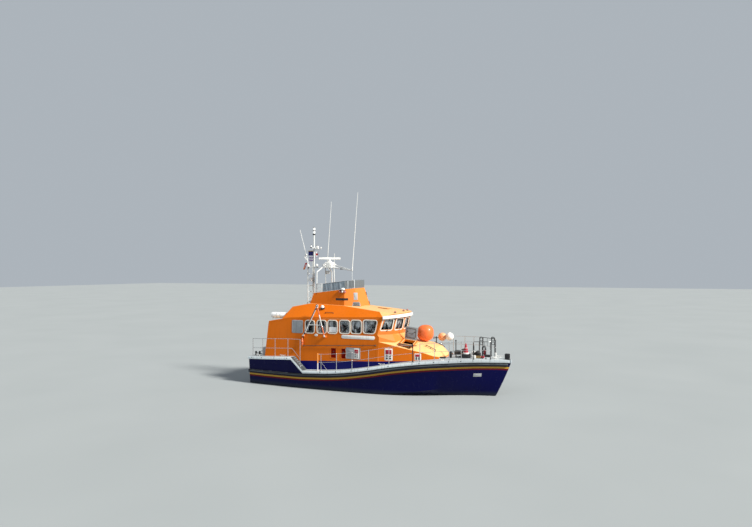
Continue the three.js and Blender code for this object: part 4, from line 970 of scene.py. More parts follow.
def window_rings(corners, round_corner):
    """The frame and the gasket of a window, and its place"""
    where, flat = facet(corners)
    wide, proud = sizes().frame_width, sizes().frame_proud
    frame_ring = plate(where, grown(flat, wide - 0.006), proud + 0.004, round_corner + wide, 0.004, 0.004,
                       wide)
    gasket = plate(where, grown(flat, -0.004), 0.022, round_corner, 0.004, 0.018, 0.016)
    return frame_ring, gasket, where, flat


class LIFEBOAT_OT_windows(bpy.types.Operator):
    """Frames, gaskets, wipers and glass of the windows, the sill boards and the brow"""

    bl_idname = "lifeboat.windows"
    bl_label = "Windows"

    def execute(self, context):
        frames, gaskets = zip(*(window_rings(pane, 0.11)[:2] for pane in side_panes()))
        finish_pair(list(frames), "side_window_frames", enamel("cream", 0.42), "white_paint")
        finish_pair(list(gaskets), "side_window_gaskets", rubber(), "black_rubber")
        glass = dark_glass("cabin glass", (0.010, 0.014, 0.016, 1), 0.74)
        for node in ("side_glazing_starboard", "side_glazing_port", "windscreen_glazing"):
            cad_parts[node].material_slots[0].material = glass
        frames, gaskets, wipers = [], [], []
        for k, pane in enumerate(screen_panes()):
            ring, gasket, where, flat = window_rings(pane, PANE["corner"])
            foot = Vector(((flat[0][0] + flat[1][0]) / 2 + 0.05, flat[0][1] - 0.03, 0.03))
            tip = Vector((foot.x + 0.16, flat[2][1] - 0.22, 0.028))
            wiper = joined([
                rod(foot - Vector((0, 0, 0.03)), foot + Vector((0, 0, 0.018)), 0.022, edge=0.004),
                pipe([foot, foot.lerp(tip, 0.5) + Vector((0, 0, 0.012)), tip], 0.006, 0.05, 8),
                moved(block((-0.006, -0.21, -0.006), (0.006, 0.21, 0.006), 0.002),
                      Matrix.Translation(tip - Vector((0.02, 0.02, 0.008)))
                      @ Matrix.Rotation(0.06, 4, "Z")),
            ])
            moved(wiper, where)
            made = [ring, gasket, wiper]
            if k < 2:
                made += [copied(piece, MIRROR) for piece in made]
            frames += made[::3]
            gaskets += made[1::3]
            wipers += made[2::3]
        placed(frames, "windscreen_frames", enamel("cream", 0.42), "white_paint")
        boards = []
        for k, corners in enumerate(screen_panes(SILL_BOARD)):
            where, flat = facet(corners)
            boards.append(plate(where, flat, 0.010, sunk=0.003))
            if k < 2:
                boards.append(copied(boards[-1], MIRROR))
        placed(boards, "windscreen_sill_boards", house_paint(), "house_paint")
        placed(gaskets, "windscreen_gaskets", rubber(), "black_rubber")
        placed(wipers, "windscreen_wipers", enamel("black", 0.5), "dark_metal")
        brow = refined("windscreen_brow", 0.014, 3, angle=25)
        placed(brow, "brow_visor", enamel("white", 0.3, coat=0.3), "white_paint",
               stands_for=("windscreen_brow",))
        return {"FINISHED"}


# Inside the wheelhouse

CROWN = 0.03


def cushion(low, high):
    """A stuffed pad: crowned faces and pulled-in corners"""
    pad = block(low, high)
    with_modifier(pad, "SUBSURF", subdivision_type="SIMPLE", levels=3, render_levels=3)
    low, high = Vector(low), Vector(high)
    middle, half = (low + high) / 2, (high - low) / 2
    for vertex in pad.data.vertices:
        away = [(vertex.co[k] - middle[k]) / half[k] for k in range(3)]
        for k in range(3):
            others = [away[j] for j in range(3) if j != k]
            swell = (1 - others[0] ** 2) * (1 - others[1] ** 2)
            vertex.co[k] += away[k] * CROWN * (swell - 0.55)
    return subdivided(pad)


class LIFEBOAT_OT_interior(bpy.types.Operator):
    """What shows through the glass: sole, console, helm seats, lockers and a notice"""

    bl_idname = "lifeboat.interior"
    bl_label = "Wheelhouse interior"

    def execute(self, context):
        sole = refined("cabin_sole", 0.006)
        placed(sole, "sole_lining", enamel("grey", 0.6, streaks=0.5), "grey_panel",
               stands_for=("cabin_sole",))
        low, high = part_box("helm_console")
        desk = [refined("helm_console", 0.02, 3)]
        screens = []
        for y in (-1.05, -0.55, 0.55, 1.05):
            desk.append(block((low.x - 0.03, y - 0.19, high.z - 0.36),
                              (low.x + 0.04, y + 0.19, high.z - 0.05), 0.012))
            screens.append(block((low.x - 0.036, y - 0.16, high.z - 0.33),
                                 (low.x - 0.02, y + 0.16, high.z - 0.08), 0.004))
        placed(desk, "helm_desk", enamel("grey", 0.5), "grey_panel", stands_for=("helm_console",))
        placed(screens, "helm_screens", enamel("navy", 0.15), "dark_metal")
        for side, y in (("starboard", -0.8), ("port", 0.8)):
            node = "helm_seat_" + side
            low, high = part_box(node)
            seat = high.z - 0.85
            base = [
                rod((low.x + 0.3, y, low.z), (low.x + 0.3, y, seat - 0.1), 0.06, edge=0.01),
                block((low.x + 0.08, y - 0.2, seat - 0.13), (high.x - 0.04, y + 0.2, seat - 0.09), 0.012),
                block((low.x + 0.14, y - 0.16, low.z), (low.x + 0.46, y + 0.16, low.z + 0.03), 0.01),
            ]
            base += [block((low.x + 0.15, y + s * 0.235 - 0.03, seat + 0.12),
                           (high.x - 0.1, y + s * 0.235, seat + 0.16), 0.012)
                     for s in (-1, 1)]
            placed(base, node + "_frame", enamel("black", 0.45), "dark_metal", stands_for=(node,))
            for part, a, b in (
                ("cushion", (low.x + 0.05, y - 0.22, seat - 0.09), (high.x, y + 0.22, seat + 0.03)),
                ("back", (low.x, y - 0.22, seat + 0.04), (low.x + 0.11, y + 0.22, high.z)),
            ):
                pad = placed(cushion(a, b), f"{node}_{part}",
                             inflated("seat vinyl", (0.03, 0.034, 0.04, 1), 0.2),
                             "seat_fabric", smooth=60)
        lockers = []
        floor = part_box("cabin_sole")[1].z
        for aft, fore, y0, y1, top in (
            (-5.4, -3.9, 1.15, 1.6, 1.05), (-3.8, -2.5, 1.2, 1.6, 0.75), (-5.4, -3.9, -1.6, -1.15, 1.05),
            (-3.2, -2.4, -1.6, -1.2, 0.75), (-1.9, -1.5, 1.15, 1.6, 1.2), (-2.9, -2.3, -0.25, 0.25, 1.15),
        ):
            lockers.append(block((aft, y0, floor), (fore, y1, floor + top), 0.02))
            lockers.append(block((aft - 0.015, y0 - 0.015, floor + top - 0.03),
                                 (fore + 0.015, y1 + 0.015, floor + top), 0.01))
        for x in (-1.9, -3.0):
            lockers.append(pipe([(x, -0.45, floor), (x, -0.45, 3.9)], 0.02))
            lockers.append(pipe([(x, 0.45, floor), (x, 0.45, 3.9)], 0.02))
        placed(lockers, "cabin_lockers", enamel("grey", 0.55), "grey_panel")
        notice = plate(on_side(-1.985, 3.155, "side_glazing_starboard"), rectangle(0.47, 0.29), 0.004, 0.04,
                       sunk=0)
        placed(notice, "window_notice", enamel("card", 0.6, 0.05, 0.0), "white_paint")
        return {"FINISHED"}


# Upper steering position

WHEEL = {"middle": (-1.85, -0.2, 5.02), "lean": 25, "radius": 0.19, "rim": 0.014, "spokes": 5, "shaft": 0.2}


class LIFEBOAT_OT_upper_bridge(bpy.types.Operator):
    """Console and wheel of the upper steering position, with dials and levers"""

    bl_idname = "lifeboat.upper_bridge"
    bl_label = "Upper steering position"

    def execute(self, context):
        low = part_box("flying_bridge_console")[0]
        desk = [refined("flying_bridge_console", 0.02, 3)]
        dials = []
        for y in (-0.27, -0.05, 0.12, 0.29):
            where = on_top(low.x + 0.14, y, "flying_bridge_console")
            desk.append(moved(hoop((0, 0, 0.004), 0.055, 0.009, segments=24, sides=8), where))
            dials.append(moved(disc(-0.004, 0.005, 0.052, edge=0.002), where))
        for y in (-0.35, 0.2):
            where = on_top(low.x + 0.26, y, "flying_bridge_console")
            dials.append(moved(pipe([(0, 0, -0.01), (0, 0.02, 0.09)], 0.007, sides=8), where))
            dials.append(moved(ball((0, 0.024, 0.1), 0.018, segments=12, rings=8), where))
        placed(desk, "upper_console", enamel("orange", 0.4), "house_paint",
               stands_for=("flying_bridge_console",))
        placed(dials, "upper_console_dials", enamel("black", 0.25), "dark_metal")

        middle, lean, radius = Vector(WHEEL["middle"]), math.radians(WHEEL["lean"]), WHEEL["radius"]
        axis = Vector((-math.cos(lean), 0, math.sin(lean)))
        turn = Matrix.Translation(middle) @ axis.to_track_quat("Z", "Y").to_matrix().to_4x4()
        wheel = [hoop((0, 0, 0), radius, WHEEL["rim"], segments=48, sides=12),
                 disc(-0.03, 0.03, 0.03, edge=0.006)]
        for k in range(WHEEL["spokes"]):
            a = math.tau * k / WHEEL["spokes"]
            wheel.append(pipe([(0, 0, 0), (radius * math.cos(a), radius * math.sin(a), 0)], 0.008, sides=8))
        wheel = [moved(part, turn) for part in wheel]
        wheel.append(rod(middle, middle - axis * WHEEL["shaft"], 0.016, sides=16))
        placed(wheel, "upper_wheel", polished_steel(), "dark_metal", body="flying_bridge_wheel",
               stands_for=("flying_bridge_wheel",))
        return {"FINISHED"}


# Mast

MAST_TUBES = (
    ((-3.372, -0.93, 5.0), (-3.372, -0.905, 6.25), 0.030),
    ((-3.372, 0.93, 5.0), (-3.372, 0.905, 6.25), 0.030),
    ((-3.372, -0.912, 6.235), (-3.29, -0.41, 6.49), 0.030),
    ((-3.372, 0.912, 6.235), (-3.29, 0.41, 6.49), 0.030),
    ((-2.69, 0, 4.4), (-2.78, 0, 6.48), 0.030), ((-3.25, -0.06, 4.4), (-3.28, -0.06, 6.48), 0.020),
    ((-4.29, -0.3, 4.4), (-4.29, -0.3, 6.83), 0.028), ((-4.29, 0.3, 4.4), (-4.29, 0.3, 6.83), 0.028),
    ((-4.05, 0, 4.4), (-4.05, 0, 8.4), 0.038), ((-4.29, -0.33, 6.5), (-4.29, 0.33, 6.5), 0.022),
    ((-4.3, -0.3, 6.5), (-3.29, -0.4, 6.49), 0.024), ((-4.3, 0.3, 6.5), (-3.29, 0.4, 6.49), 0.024),
    ((-4.05, 0, 6.5), (-4.29, 0, 6.5), 0.020), ((-3.372, -0.915, 5.585), (-3.016, -0.975, 5.597), 0.015),
    ((-3.372, 0.915, 5.585), (-3.016, 0.975, 5.597), 0.015),
    ((-3.031, -0.948, 5.105), (-3.031, -0.972, 5.6), 0.015),
    ((-3.031, 0.948, 5.105), (-3.031, 0.972, 5.6), 0.015),
    ((-2.78, -0.2, 6.49), (-1.288, -0.722, 6.33), 0.026),
    ((-2.85, 0.06, 6.66), (-1.33, -0.705, 6.335), 0.022),
    ((-1.3, -0.7035, 5.34), (-1.3, -0.7035, 6.33), 0.010),
    ((-3.18, 0.42, 6.49), (-3.1, 0.7, 6.495), 0.012), ((-3.1, 0.7, 6.48), (-3.1, 0.7, 7.31), 0.020),
    ((-3.372, 0.905, 6.25), (-3.605, 0.75, 6.495), 0.015),
    ((-3.29, 0.4, 6.49), (-3.605, 0.75, 6.495), 0.015),
    ((-4.05, -0.33, 7.61), (-4.05, 0.33, 7.61), 0.022), ((-4.05, 0, 7.5), (-3.6, 0, 7.54), 0.010),
)
RUNG_HEIGHTS = (4.77, 5.11, 5.45, 5.79, 6.13)
MAST_TABLE = ((-3.34, -0.43, 6.47), (-2.74, 0.43, 6.51))
GEARBOX = ((-3.28, -0.19, 6.50), (-2.82, 0.19, 6.90))
SCANNER_TURN = 35
LANTERN = (-4.05, 0.0)
LAMP_ARMS = (-0.33, 0.33)
AERIALS = {
    "forward": ((-1.288, -0.722, 6.351), (-0.955, -0.722, 10.559), 0.022, 0.011),
    "middle": ((-3.605, 0.75, 6.513), (-3.324, 0.75, 10.322), 0.022, 0.011),
    "aft": ((-4.29, -0.30, 6.835), (-4.80, -0.30, 8.65), 0.019, 0.010),
}


class LIFEBOAT_OT_mast(bpy.types.Operator):
    """Tubular mast with its ladder, table, lights and lantern"""

    bl_idname = "lifeboat.mast"
    bl_label = "Mast"

    def execute(self, context):
        tubes = [pipe([foot, head], radius * 1.2, sides=16) for foot, head, radius in MAST_TUBES]
        tubes += [pipe([(-4.29, -0.3, z), (-4.29, 0.3, z)], 0.018) for z in RUNG_HEIGHTS]
        tubes.append(block(*MAST_TABLE, 0.012))
        for foot, head, radius in MAST_TUBES[:9]:
            if foot[2] == 4.4 and foot[0] < -4:
                seat = on_top(foot[0], foot[1], "main_roof").translation
                tubes.append(upright(seat, -0.01, 0.02, radius * 2.2, sides=20, edge=0.004))
        for z in (5.2, 5.9, 7.0, 7.9):
            tubes.append(rod((*LANTERN, z), (*LANTERN, z + 0.03), 0.046, edge=0.006))
        tubes.append(rod((-3.605, 0.75, 6.48), (-3.605, 0.75, 6.511), 0.040, edge=0.004))
        tubes.append(rod((-1.288, -0.722, 6.30), (-1.288, -0.722, 6.350), 0.034, edge=0.004))
        placed(tubes, "mast_tubes", enamel("mast", 0.4, streaks=0.3), "mast_metal", stands_for=("mast",))

        x, y = LANTERN
        caps = [
            rod((x, y, 8.36), (x, y, 8.44), 0.078, edge=0.012),
            rod((x, y, 8.58), (x, y, 8.63), 0.078, edge=0.012),
            rod((x, y, 8.77), (x, y, 8.81), 0.075, 0.05, edge=0.012),
        ]
        for arm in LAMP_ARMS:
            caps.append(rod((x, arm, 7.60), (x, arm, 7.66), 0.045, edge=0.008))
            caps.append(rod((x, arm, 7.75), (x, arm, 7.78), 0.045, 0.03, edge=0.006))
        placed(caps, "lantern_caps", enamel("black", 0.45), "dark_metal")
        lenses = [rod((x, y, 8.44), (x, y, 8.58), 0.066, sides=24),
                  rod((x, y, 8.63), (x, y, 8.77), 0.066, sides=24)]
        lenses += [rod((x, arm, 7.66), (x, arm, 7.75), 0.038, sides=20) for arm in LAMP_ARMS]
        placed(lenses, "lantern_lenses", lamp_lens("clear lens", (0.85, 0.87, 0.86, 1), 0.25),
               "white_paint")
        return {"FINISHED"}


class LIFEBOAT_OT_radar(bpy.types.Operator):
    """Radar gearbox and its turning scanner"""

    bl_idname = "lifeboat.radar"
    bl_label = "Radar"

    def execute(self, context):
        low, high = (Vector(p) for p in GEARBOX)
        box = block(low, high - Vector((0, 0, 0.1)), 0.04, 4)
        neck = rod(((low.x + high.x) / 2, 0, high.z - 0.14), ((low.x + high.x) / 2, 0, high.z - 0.02), 0.14,
                   0.09, 32, 0.012)
        feet = [
            block((x - 0.03, y - 0.03, low.z - 0.01), (x + 0.03, y + 0.03, low.z + 0.03), 0.006)
            for x in (low.x + 0.06, high.x - 0.06) for y in (low.y - 0.01, high.y + 0.01)
        ]
        joint = block((low.x - 0.004, low.y - 0.004, low.z + 0.14),
                      (high.x + 0.004, high.y + 0.004, low.z + 0.155), 0.003)
        placed([box, neck, joint, *feet], "radar_gearbox", enamel("white", 0.3, coat=0.2), "white_paint")

        low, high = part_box("radar_scanner")
        middle = Vector(((low.x + high.x) / 2, (low.y + high.y) / 2, 0))
        turn = Matrix.Translation(middle) @ Matrix.Rotation(math.radians(SCANNER_TURN), 4, "Z")
        bar = block((-0.615, -0.052, high.z - 0.122), (0.615, 0.05, high.z), 0.03, 4)
        face = block((-0.58, 0.046, high.z - 0.095), (0.58, 0.054, high.z - 0.03), 0.003)
        ends = [block((s * 0.6 - 0.018, -0.055, high.z - 0.125), (s * 0.6 + 0.018, 0.055, high.z), 0.02, 3)
                for s in (-1, 1)]
        hub = rod((0, 0, high.z - 0.17), (0, 0, high.z - 0.10), 0.058, sides=24, edge=0.01)
        pieces = [moved(part, turn) for part in (bar, face, *ends, hub)]
        pieces.append(moved(rod((0, 0, low.z), (0, 0, high.z - 0.15), 0.03, sides=24),
                            Matrix.Translation(middle)))
        placed(pieces, "radar_bar", enamel("white", 0.28, coat=0.3), "white_paint", body="radar_scanner",
               stands_for=("radar_scanner",))
        return {"FINISHED"}


class LIFEBOAT_OT_aerials(bpy.types.Operator):
    """Whip aerials with their ferrules"""

    bl_idname = "lifeboat.aerials"
    bl_label = "Whip aerials"

    def execute(self, context):
        for name, (foot, head, radius, tip) in AERIALS.items():
            foot, head = Vector(foot), Vector(head)
            way = (head - foot).normalized()
            parts = [rod(foot, head - way * 0.01, radius, tip, 20)]
            parts.append(rod(foot, foot + way * 0.16, radius * 1.25, radius * 1.1, 20, 0.003))
            middle = foot.lerp(head, 0.48)
            parts.append(rod(middle - way * 0.05, middle + way * 0.05, radius * 0.95, sides=20, edge=0.003))
            parts.append(ball(head - way * 0.008, tip * 1.1, segments=16, rings=8))
            placed(parts, f"aerial_{name}", enamel("white", 0.4), "white_paint",
                   stands_for=(f"whip_aerial_{name}",))
        return {"FINISHED"}


# Guard rails

SIDE_POSTS = (-2.42, -1.50, -0.60, 0.33, 1.43, 2.65)
BOW_POSTS = (3.00, 3.70, 4.40, 4.95, 5.50, 6.25)
AFT_POSTS = (-6.90, -6.20, -5.35, -4.50)
RAIL = {"top": 0.876, "middle": 0.45, "post": 0.017, "wire": 0.009, "inset": 0.06}
AFT_RAIL = {"top": 0.985, "middle": 0.47, "bar": 0.0136, "inset": 0.08, "end": -3.72, "knee": -4.22,
            "brace": 1.575}
GATE_POST = {"x": -2.62, "radius": 0.034, "brace": (-2.42, 0.47), "foot": -2.03}


def stanchion(foot, height, radius=None):
    """A post with a foot flange, a socket and a cap"""
    radius = radius or RAIL["post"]
    return [
        pipe([foot - UP * 0.004, foot + UP * (height - 0.004)], radius, sides=16),
        upright(foot, -0.002, 0.010, radius * 2.6, sides=20, edge=0.003),
        upright(foot, 0.008, 0.07, radius * 1.35, sides=16, edge=0.003),
        ball(foot + UP * height, radius * 1.12, segments=16, rings=8),
    ]


def along_edge(aft, fore, lift, inset):
    """Points that follow the deck's edge at starboard at a height over it"""
    return [at_rail(aft + (fore - aft) * k / EDGE_STEPS, lift, inset) for k in range(EDGE_STEPS + 1)]


def wires(posts):
    """Top and middle guard wires with their screws at both ends"""
    parts = []
    for height in (RAIL["top"], RAIL["middle"]):
        line = along_edge(posts[0], posts[-1], height, RAIL["inset"])
        parts.append(pipe(line, RAIL["wire"], sides=12))
        for end, inner in ((line[0], line[1]), (line[-1], line[-2])):
            way = (inner - end).normalized()
            parts.append(rod(end + way * 0.03, end + way * 0.16, RAIL["wire"] * 1.5, sides=12, edge=0.002))
        parts += [ball(at_rail(x, height, RAIL["inset"]), 0.024, segments=14, rings=8) for x in posts]
    return parts


class LIFEBOAT_OT_rails(bpy.types.Operator):
    """Guard rails round the deck"""

    bl_idname = "lifeboat.rails"
    bl_label = "Guard rails"

    def execute(self, context):
        inset = RAIL["inset"]
        side = [part for x in SIDE_POSTS[:5] for part in stanchion(at_rail(x, 0, inset), RAIL["top"])]
        side += wires((GATE_POST["x"], *SIDE_POSTS))
        x, lift = GATE_POST["brace"]
        side.append(pipe([at_rail(x, lift, inset), at_rail(GATE_POST["foot"], 0, inset)], RAIL["wire"]))
        side.append(rod(at_rail(GATE_POST["foot"], -0.002, inset), at_rail(GATE_POST["foot"], 0.01, inset),
                        0.035))
        finish_pair(side, "side_rail_tubes", polished_steel(), "rail_steel", "side_rail", 50)
        gate = stanchion(at_rail(GATE_POST["x"], 0, inset), 0.88, GATE_POST["radius"])
        finish_pair(gate, "gate_post", banded_pole(), "orange_vinyl", smooth=50)

        bow = [part for x in BOW_POSTS[:4] for part in stanchion(at_rail(x, 0, inset), RAIL["top"])]
        bow += wires(BOW_POSTS)
        finish_pair(bow, "bow_rail_tubes", polished_steel(), "rail_steel", "bow_rail", 50)
        dark = [part for x in BOW_POSTS[4:] for part in stanchion(at_rail(x, 0, inset), RAIL["top"], 0.019)]
        post = at_rail(SIDE_POSTS[5], 0, inset)
        dark += stanchion(post, RAIL["top"], 0.026)
        dark.append(rod(post + Vector((-0.20, 0, 0.79)), post + Vector((0.2, 0, 0.84)), 0.022, sides=16,
                        edge=0.003))
        for x in (5.75, 6.0):
            dark.append(pipe([at_rail(x, 0.45, inset), at_rail(x, RAIL["top"], inset)], 0.009))
        dark.append(pipe(along_edge(5.5, 6.25, RAIL["top"], inset), 0.014))
        finish_pair(dark, "bow_rail_sleeves", enamel("black", 0.5), "dark_metal", smooth=50)

        inset = AFT_RAIL["inset"]
        last = AFT_POSTS[-1]
        aft = [part for x in AFT_POSTS for part in stanchion(at_rail(x, 0, inset), AFT_RAIL["top"])]
        level = at_rail(last).z
        end = at_rail(AFT_RAIL["end"], 0, inset)
        aft += stanchion(end, level + AFT_RAIL["top"] - end.z)
        top, middle = (along_edge(AFT_POSTS[0], last, AFT_RAIL[key], inset) for key in ("top", "middle"))
        knee = at_rail(AFT_RAIL["knee"], 0, inset)
        aft.append(pipe([*top, Vector((end.x, end.y, level + AFT_RAIL["top"]))], AFT_RAIL["bar"]))
        middle += [Vector((knee.x, knee.y, level + AFT_RAIL["middle"])),
                   Vector((end.x, end.y, AFT_RAIL["brace"]))]
        aft.append(pipe(middle, AFT_RAIL["bar"]))
        finish_pair(aft, "aft_rail_tubes", polished_steel(), "rail_steel", "aft_rail", 50)
        return {"FINISHED"}


# Fittings on the sides of the house

PANEL = {"x": (-4.48, -3.78), "z": (2.90, 3.61)}
NAME_PLATE = {"x": (-1.44, 0.47), "z": (2.735, 2.915)}
HANDRAIL = {"aft": (-3.68, 2.24), "fore": (0.52, 2.45), "off": 0.055, "brackets": 7}
RECESSES = ((-2.05, -1.75), (-1.44, -1.19))
RECESS_Z = (1.67, 2.19)
LOCKER = {"x": (-1.16, -0.33), "z": (1.68, 2.27)}
SIGNS = ((-0.545, 1.975, 0.30, 0.54), (1.22, 2.01, 0.43, 0.62), (2.70, 1.93, 0.34, 0.34))


def centred(x, z):
    """Middle and size of a panel from its ends"""
    return (sum(x) / 2, sum(z) / 2), (x[1] - x[0], z[1] - z[0])


def sign_parts(where, wide, high):
    """A blank plate with a red field over four round studs"""
    board = plate(where, rectangle(wide, high), 0.006, min(wide, high) * 0.08, 0.002)
    red = plate(shifted(where, y=high * 0.2, z=0.004), rectangle(wide * 0.74, high * 0.38), 0.005, 0.012,
                0.001)
    studs = []
    for across in (-0.2, 0.2):
        for down in (0.12, 0.32):
            spot = shifted(where, across * wide, -down * high)
            studs += put(spot, disc(0.002, 0.016, wide * 0.11, sides=20, edge=0.003))
    return board, red, studs


class LIFEBOAT_OT_side_fittings(bpy.types.Operator):
    """Panels, lockers, signs, recesses and handrails on the sides of the house"""

    bl_idname = "lifeboat.side_fittings"
    bl_label = "Side fittings"

    def execute(self, context):
        (x, z), (wide, high) = centred(PANEL["x"], PANEL["z"])
        where = on_side(x, z)
        vent = [plate(where, rectangle(wide, high), 0.010, 0.07, 0.004)]
        vent.append(plate(shifted(where, z=0.008), rectangle(wide - 0.06, high - 0.06), 0.012, 0.05, 0.003,
                          rim=0.03))
        for k in range(9):
            slat = block((-wide / 2 + 0.08, -0.012, 0.004), (wide / 2 - 0.08, 0.012, 0.018), 0.004)
            vent += put(shifted(where, y=(k - 4) * 0.062) @ Matrix.Rotation(0.35, 4, "X"), slat)
        finish_pair(vent, "side_vent", enamel("grey", 0.55, streaks=0.3), "grey_panel")

        (x, z), (wide, high) = centred(NAME_PLATE["x"], NAME_PLATE["z"])
        where = on_side(x, z)
        name = [plate(where, rectangle(wide, high), 0.012, 0.08, 0.004)]
        oval = ball((0, 0, 0.004), 0.105, (1.0, 0.66, 0.16), 28, 12)
        name += put(on_side(-2.96, 2.84), oval)
        finish_pair(name, "name_board", enamel("white", 0.35, coat=0.2), "white_paint")
        edge = plate(where, rectangle(wide + 0.016, high + 0.016), 0.010, 0.088, 0.003, rim=0.012)
        finish_pair(edge, "name_board_edge", enamel("cream", 0.5), "white_paint")

        (ax, az), (fx, fz) = HANDRAIL["aft"], HANDRAIL["fore"]
        spots = []
        for k in range(HANDRAIL["brackets"]):
            t = k / (HANDRAIL["brackets"] - 1)
            spots.append(on_flank(ax + (fx - ax) * t, az + (fz - az) * t))
        points = [spot @ Vector((0, 0, HANDRAIL["off"])) for spot in spots]
        ends = [spots[0] @ Vector((-0.05, 0, 0)), spots[-1] @ Vector((0.05, 0, 0))]
        rail = [pipe([ends[0], *points, ends[1]], sizes().handrail, 0.04, 16)]
        for spot in spots:
            rail += put(spot, disc(-0.002, 0.008, 0.032, sides=20, edge=0.003),
                        pipe([(0, 0, 0), (0, 0, HANDRAIL["off"])], 0.010))
        rail += [ball(point, 0.036, (1.5, 1, 1), 16, 10) for point in (points[0], points[-1])]
        finish_pair(rail, "house_handrail", enamel("hatch_brown", 0.5), "rail_steel", smooth=50)

        rims, wells, handles = [], [], []
        for ends in RECESSES:
            (x, z), (wide, high) = centred(ends, RECESS_Z)
            where = on_flank(x, z)
            rims.append(plate(where, rectangle(wide + 0.05, high + 0.05), 0.014, 0.04, 0.004, rim=0.03))
            wells.append(plate(where, rectangle(wide, high), 0.005, 0.03))
            handles += put(shifted(where, y=-high * 0.1),
                           pipe([(-0.05, 0, 0), (-0.05, 0, 0.035), (0.05, 0, 0.035), (0.05, 0, 0)], 0.008,
                                0.02),
                           rod((0, high * 0.25, 0), (0, high * 0.25, 0.022), 0.035, sides=20, edge=0.004))
        finish_pair(rims, "recess_rims", enamel("orange", 0.4), "house_paint")
        finish_pair(wells, "recess_wells", enamel("red", 0.7, 0.05, 0.0, shine=0.03), "dark_metal")
        finish_pair(handles, "recess_handles", enamel("black", 0.4), "dark_metal")

        (x, z), (wide, high) = centred(LOCKER["x"], LOCKER["z"])
        where = on_flank(x, z)
        lid = [plate(where, rectangle(wide, high), 0.034, 0.035, 0.006)]
        lid.append(plate(shifted(where, z=0.03), rectangle(wide - 0.08, high - 0.08), 0.008, 0.025, 0.003,
                         rim=0.02))
        for up in (-0.17, 0.17):
            lid += put(shifted(where, -wide / 2, up),
                       rod((0, -0.04, 0.03), (0, 0.04, 0.03), 0.012, sides=12, edge=0.002))
        lid += put(shifted(where, wide * 0.06, 0.0, 0.03),
                   block((-0.014, -0.04, 0), (0.014, 0.04, 0.022), 0.005))
        finish_pair(lid, "side_locker", enamel("grey", 0.5, streaks=0.35), "grey_panel")

        boards, reds, studs = [], [], []
        for x, z, wide, high in SIGNS:
            lift = 0.034 if LOCKER["x"][0] < x < LOCKER["x"][1] else 0.0
            board, red, round_studs = sign_parts(shifted(on_flank(x, z), z=lift), wide, high)
            boards.append(board)
            reds.append(red)
            studs += round_studs
        finish_pair(boards, "sign_boards", enamel("white", 0.45), "white_paint")
        finish_pair(reds, "sign_fields", enamel("crimson_bright", 0.45), "orange_vinyl")
        finish_pair(studs, "sign_studs", enamel("black", 0.5), "black_rubber")

        holder = []
        where = on_side(-3.77, 2.44)
        holder += put(where, ball((0, -0.03, 0.10), 0.085, (0.9, 2.1, 0.8), 28, 18),
                      rod((0, 0.12, 0.09), (0, 0.23, 0.06), 0.05, 0.02, 20, 0.006))
        placed(holder, "float_bag", inflated("worn cover", (0.58, 0.12, 0.03, 1), 0.25), "orange_vinyl",
               smooth=60)
        hooks = put(where, pipe([(0, 0.19, -0.004), (0, 0.2, 0.05), (0, 0.26, 0.075), (0, 0.3, 0.05)],
                                0.009, 0.03),
                    plate(shifted(Matrix.Identity(4), y=0.22), rectangle(0.07, 0.12), 0.006, 0.02, 0.002),
                    hoop((0, -0.02, 0.1), 0.078, 0.007, Vector((0, 1, 0)), 28, 8))
        placed(hooks, "float_bag_hook", enamel("black", 0.5), "dark_metal")
        return {"FINISHED"}


# Fittings on the roof and the upper steering position

SLOT_VENT = {"side": (-1.855, 0.54), "quarter": ((-1.53, -1.02), 0.27), "z": 4.76, "high": 0.12}


def round_lamp(radius, high):
    """A lamp's base and its domed lens, standing on z"""
    base = rod((0, 0, -0.004), (0, 0, high * 0.4), radius, radius * 0.9, 24, 0.004)
    lens = ball((0, 0, high * 0.4), radius * 0.86, (1, 1, high * 0.62 / (radius * 0.86)), 24, 12)
    return base, lens


